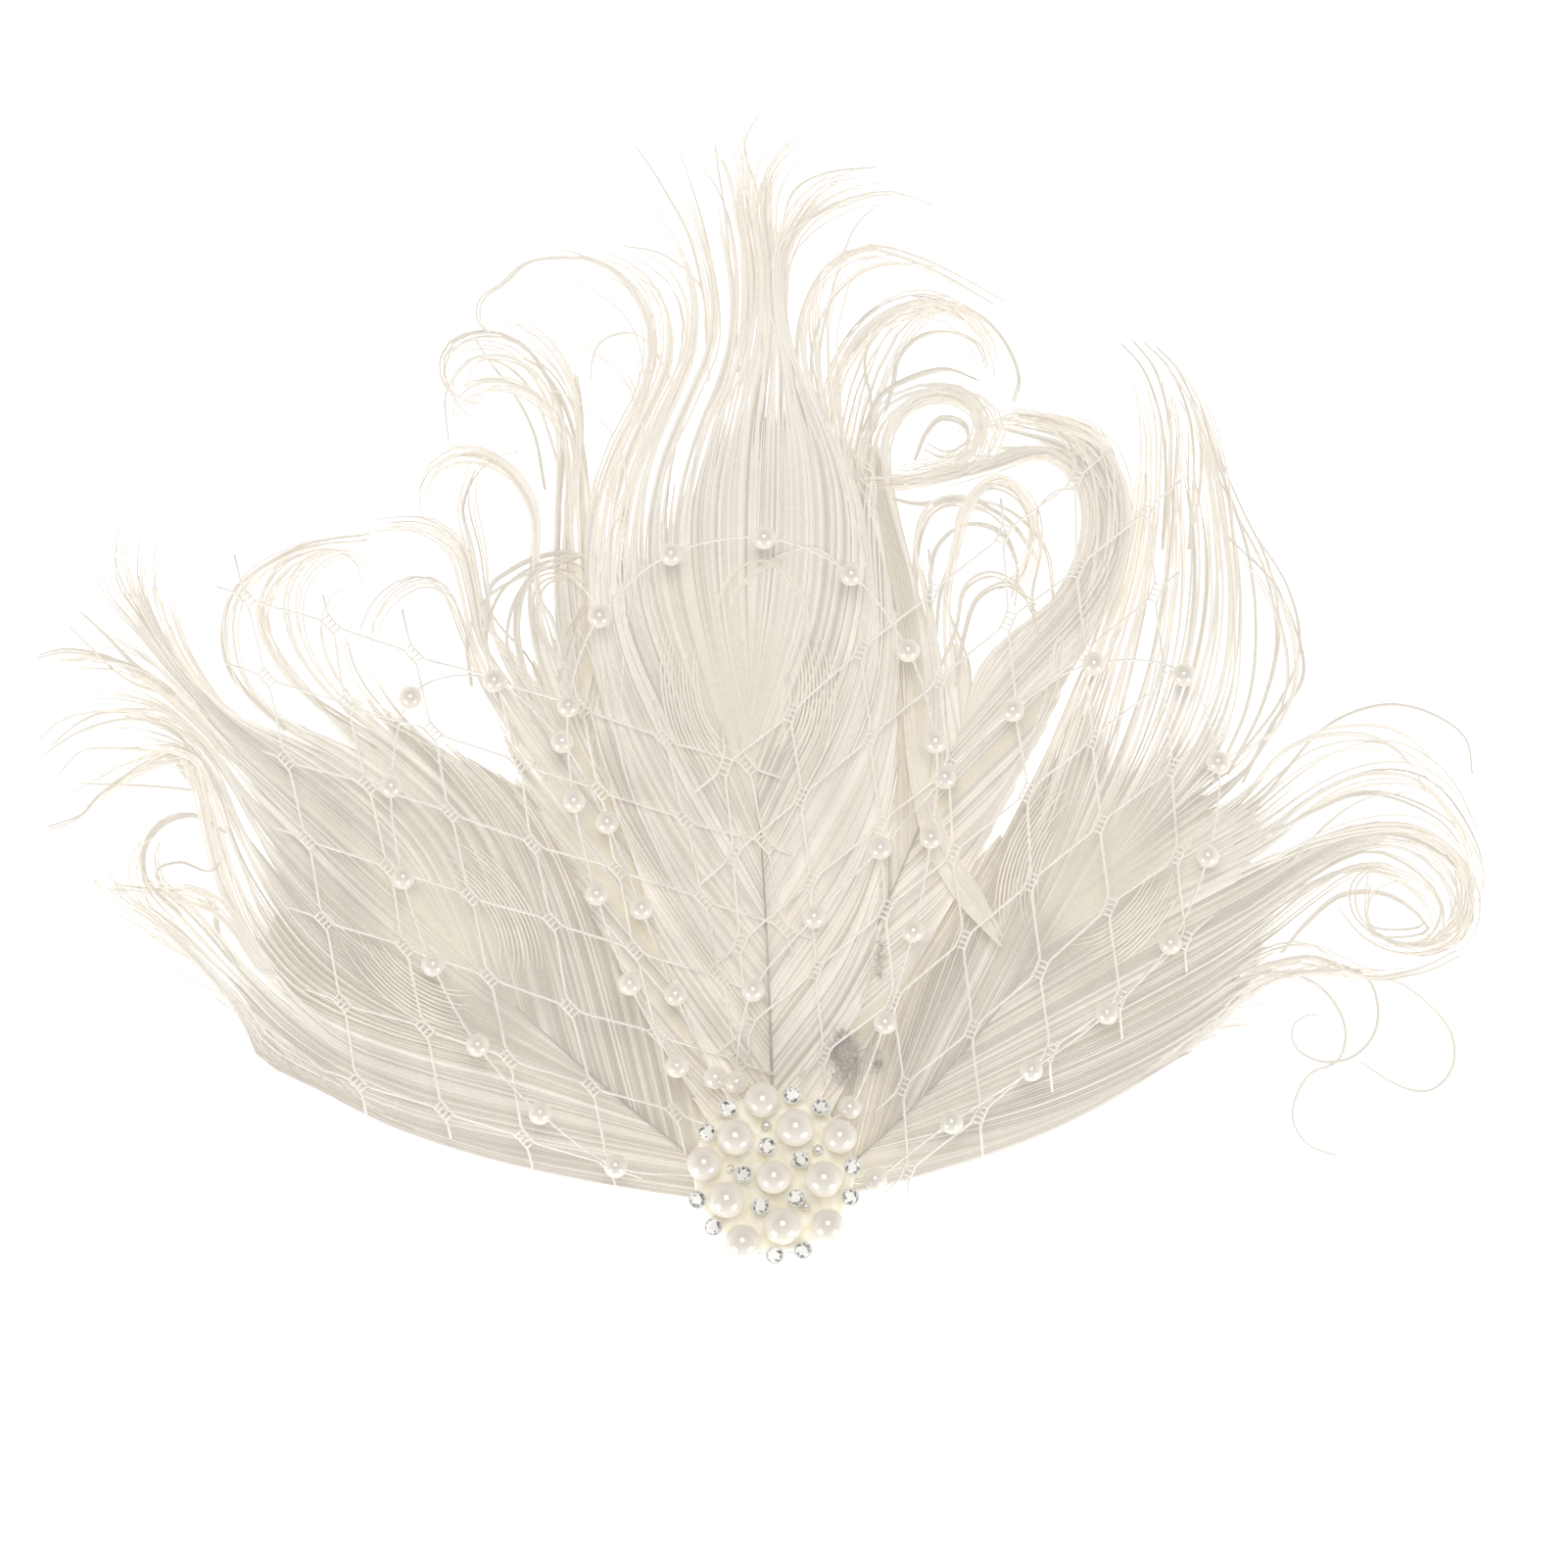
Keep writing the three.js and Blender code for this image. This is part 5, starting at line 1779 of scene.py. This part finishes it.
for string in STRINGS:
    route = np.array([string_point(place, string["lift"]) for place in string["route"]])
    line, length = curve_points(route, STRING_POINTS)
    share = np.linspace(0, 1, STRING_POINTS)
    threads = Heap()
    add_tube(threads, line[::2], THREAD_RADIUS, THREAD_SIDES)
    add_piece(f"{string['name']}_thread", threads.mesh("thread"), CLEAR_THREAD, [])
    beads = Heap()
    points, faces = ball(BEAD_RADIUS, **BEAD_GRID)
    for run in np.arange(string["bare"], length - string["pitch"] / 2, string["pitch"]):
        place = [np.interp(run / length, share, line[:, k]) for k in range(3)]
        beads.add(points + np.array(place), faces)
    add_piece(f"{string['name']}_beads", beads.mesh("beads"), PEARL, [string["name"]])


# Brooch


def dome_height(x, y):
    return DOME_Z - BROOCH["dome"] * (math.hypot(x, y) / BROOCH["radius"]) ** 2


def plate_mesh():
    """The brooch's domed plate with a rolled rim, on its boss, and a seat for each pearl."""
    r, boss = BROOCH["radius"], BROOCH["boss"]
    edge_z = dome_height(r, 0)
    roll = ROLLED_RIM
    profile = [(0, BROOCH_Z), (boss, BROOCH_Z), (boss, RIM_Z), (r - roll["under"], RIM_Z)]
    profile += [(r, RIM_Z + roll["rise"]), (r, edge_z - roll["fall"])]
    profile += [(r - roll["over"], edge_z + roll["lip"])]
    profile += [(s * r, dome_height(s * r, 0)) for s in DOME_RINGS] + [(0, DOME_Z)]
    heap = Heap()
    heap.add(*lathe(profile, BROOCH["sides"]))
    for x, y, _ in PEARLS:
        z = dome_height(x, y)
        seat = [(radius, z + height) for radius, height in PEARL_SEAT]
        points, faces = lathe(seat, PEARL_SEAT_SIDES)
        heap.add(points + np.array([x, y, 0]), faces)
    return heap.mesh("plate")


def cups_mesh():
    """A flared cup with small claws for each stone, open above, and studs between the pearls."""
    foot, seat = CUP["foot_z"], CUP["seat_z"]
    top = seat + CUP["rise"]
    r = CUP["radius"]
    inner = r - CUP["lip"]
    well, well_z = CUP["well"]
    profile = [(0, foot), (CUP["foot"], foot), (r, top - CUP["collar"]), (r + CUP["flare"], top)]
    profile += [(inner, top), (inner, seat + CUP["ledge"])]
    profile += [(well, seat + well_z), (0, seat + well_z)]
    cup, cup_faces = lathe(profile, CUP["sides"])
    claw, claw_faces = ball(CLAW["radius"], **CLAW_GRID)
    reach = r - CLAW["inset"]
    heap = Heap()
    for x, y in STONE_PLACES:
        heap.add(cup + np.array([x, y, 0]), cup_faces)
        for k in range(CLAW["count"]):
            angle = math.radians(CLAW["first"] + 360 / CLAW["count"] * k)
            place = (x + reach * math.cos(angle), y + reach * math.sin(angle), top + CLAW["rise"])
            heap.add(claw + np.array(place), claw_faces)
    for x, y, size in STUDS:
        z = dome_height(x, y)
        stud, stud_faces = lathe([(share * size, z + height) for share, height in STUD], STUD_SIDES)
        heap.add(stud + np.array([x, y, 0]), stud_faces)
    return heap.mesh("cups", smooth=False)


def stone_form():
    """A round cut stone: table, star, kite and girdle facets above, a cone of facets below."""

    def ring(count, radius, z, turn=0.0):
        angle = np.linspace(0, 2 * math.pi, count, endpoint=False) + turn
        return np.stack([radius * np.cos(angle), radius * np.sin(angle), np.full(count, z)], 1)

    n = STONE["facets"]
    low, high = STONE["girdle"]
    table = ring(n, STONE["table"], STONE["height"])
    crown = ring(n, *STONE["crown"], math.pi / n)
    upper = ring(2 * n, STONE["radius"], high)
    lower = ring(2 * n, STONE["radius"], low)
    point = np.array([[0, 0, -STONE["pavilion"]]])
    # Where each ring's points begin
    crown_at, upper_at, lower_at, point_at = n, 2 * n, 4 * n, 6 * n
    faces = [list(range(n))]
    for k in range(n):
        before, after = crown_at + (k - 1) % n, (k + 1) % n
        kite = crown_at + k
        left, middle = upper_at + 2 * k, upper_at + 2 * k + 1
        right = upper_at + (2 * k + 2) % (2 * n)
        faces.append([k, kite, after])
        faces.append([k, before, left, kite])
        faces.append([kite, left, middle])
        faces.append([kite, middle, right])
    for k in range(2 * n):
        after = (k + 1) % (2 * n)
        faces.append([upper_at + k, lower_at + k, lower_at + after, upper_at + after])
        faces.append([lower_at + k, point_at, lower_at + after])
    return np.vstack([table, crown, upper, lower, point]), faces


def painted_glint_colours(count):
    """Painted glints: a colour for each facet of a stone, some of them dark. The first, the table,
    is bright.
    """
    dark = rng.random(count) < FACET_GLINTS["dark_share"]
    dark[0] = False
    low = rng.uniform(*FACET_GLINTS["dark"], count)
    high = rng.uniform(*FACET_GLINTS["bright"], count)
    shade = np.where(dark, low, high)
    return np.stack([*(tint * shade for tint in FACET_GLINTS["tint"]), np.ones(count)], 1)


add_piece("brooch_plate", plate_mesh(), PALE_GILT, ["brooch_setting"])
add_piece("brooch_cups", cups_mesh(), SILVERING, [])
for k, (x, y, size) in enumerate(PEARLS):
    points, faces = ball(size / 2, **PEARL_GRID)
    points = points + np.array([x, y, dome_height(x, y) + SEAT_GAP + PEARL_RISE])
    name = f"pearl_{k + 1:02d}"
    add_piece(f"big_{name}", make_mesh(name, points, faces), PEARL, [name])
stone_points, stone_faces = stone_form()
for k, (x, y) in enumerate(STONE_PLACES):
    turn = rng.uniform(0, 2 * math.pi / STONE["facets"])
    cos, sin = math.cos(turn), math.sin(turn)
    spin = np.array([[cos, sin, 0], [-sin, cos, 0], [0, 0, 1]])
    points = stone_points @ spin + np.array([x, y, CUP["seat_z"] + SEAT_GAP])
    name = f"rhinestone_{k + 1:02d}"
    cut = make_mesh(name, points, stone_faces, smooth=False)
    colours = painted_glint_colours(len(stone_faces))
    # Painted glints, stored for each face
    cut.attributes.new("facet", "FLOAT_COLOR", "FACE").data.foreach_set("color", colours.ravel())
    add_piece(f"cut_{name}", cut, CRYSTAL, [name])

# The hair clip keeps its solid
clip_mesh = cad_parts["hair_clip"].data
clip_mesh.materials.clear()
clip_mesh.materials.append(CLIP_STEEL)


# Floor, light and camera


def add_floor():
    mesh = bpy.data.meshes.new("floor")
    half = FLOOR["half"]
    corners = [(-half, -half, 0), (half, -half, 0), (half, half, 0), (-half, half, 0)]
    mesh.from_pydata(corners, [], [[0, 1, 2, 3]])
    floor = bpy.data.objects.new("floor", mesh)
    floor.location.z = FLOOR["z"]
    bpy.context.scene.collection.objects.link(floor)
    paper = glowing_material(
        "white_paper",
        glow_colour=(1, 1, 1),
        glow_strength=0.52,
        low=(0.93, 0.93, 0.925),
        high=(0.95, 0.95, 0.945),
        scale=60,
        roughness=0.9,
        bump=0.0,
    )
    mesh.materials.append(paper)


def add_softbox(name, place, size, radiance):
    lamp = bpy.data.lights.new(name, "AREA")
    lamp.shape = "SQUARE"
    lamp.size = size
    lamp.energy = radiance * math.pi * size**2
    box = bpy.data.objects.new(name, lamp)
    box.location = place
    box.rotation_euler = (Vector(LAMP_TARGET) - Vector(place)).to_track_quat("-Z", "Y").to_euler()
    box.visible_camera = False
    bpy.context.scene.collection.objects.link(box)


def add_world():
    """Even light that is weaker overhead."""
    world = bpy.data.worlds.new("studio")
    bpy.context.scene.world = world
    world.use_nodes = True
    tree = world.node_tree
    back = tree.nodes["Background"]
    place = add_node(tree, "ShaderNodeTexCoord")
    split = add_node(tree, "ShaderNodeSeparateXYZ")
    ramp = add_node(tree, "ShaderNodeMapRange")
    ramp.inputs["To Min"].default_value = 0.85
    ramp.inputs["To Max"].default_value = 0.12
    tree.links.new(place.outputs["Generated"], split.inputs[0])
    tree.links.new(split.outputs["Z"], ramp.inputs["Value"])
    tree.links.new(ramp.outputs["Result"], back.inputs["Strength"])
    back.inputs["Color"].default_value = (1, 0.99, 0.975, 1)


def add_camera():
    lens = bpy.data.cameras.new("camera")
    lens.lens = 200
    lens.sensor_width = 36
    lens.clip_start = 0.05
    lens.clip_end = 20
    camera = bpy.data.objects.new("camera", lens)
    camera.location = (0.00175, 0.0659, 1.494)
    bpy.context.scene.collection.objects.link(camera)
    bpy.context.scene.camera = camera


add_floor()
add_softbox("key", place=(0.0, 0.60, 2.0), size=1.0, radiance=5.0)
add_softbox("low_left", place=(-0.60, -0.55, 0.27), size=0.40, radiance=6.4)
add_softbox("low_right", place=(0.60, -0.55, 0.27), size=0.40, radiance=6.4)
add_world()
add_camera()
bpy.context.scene.view_settings.view_transform = "Standard"
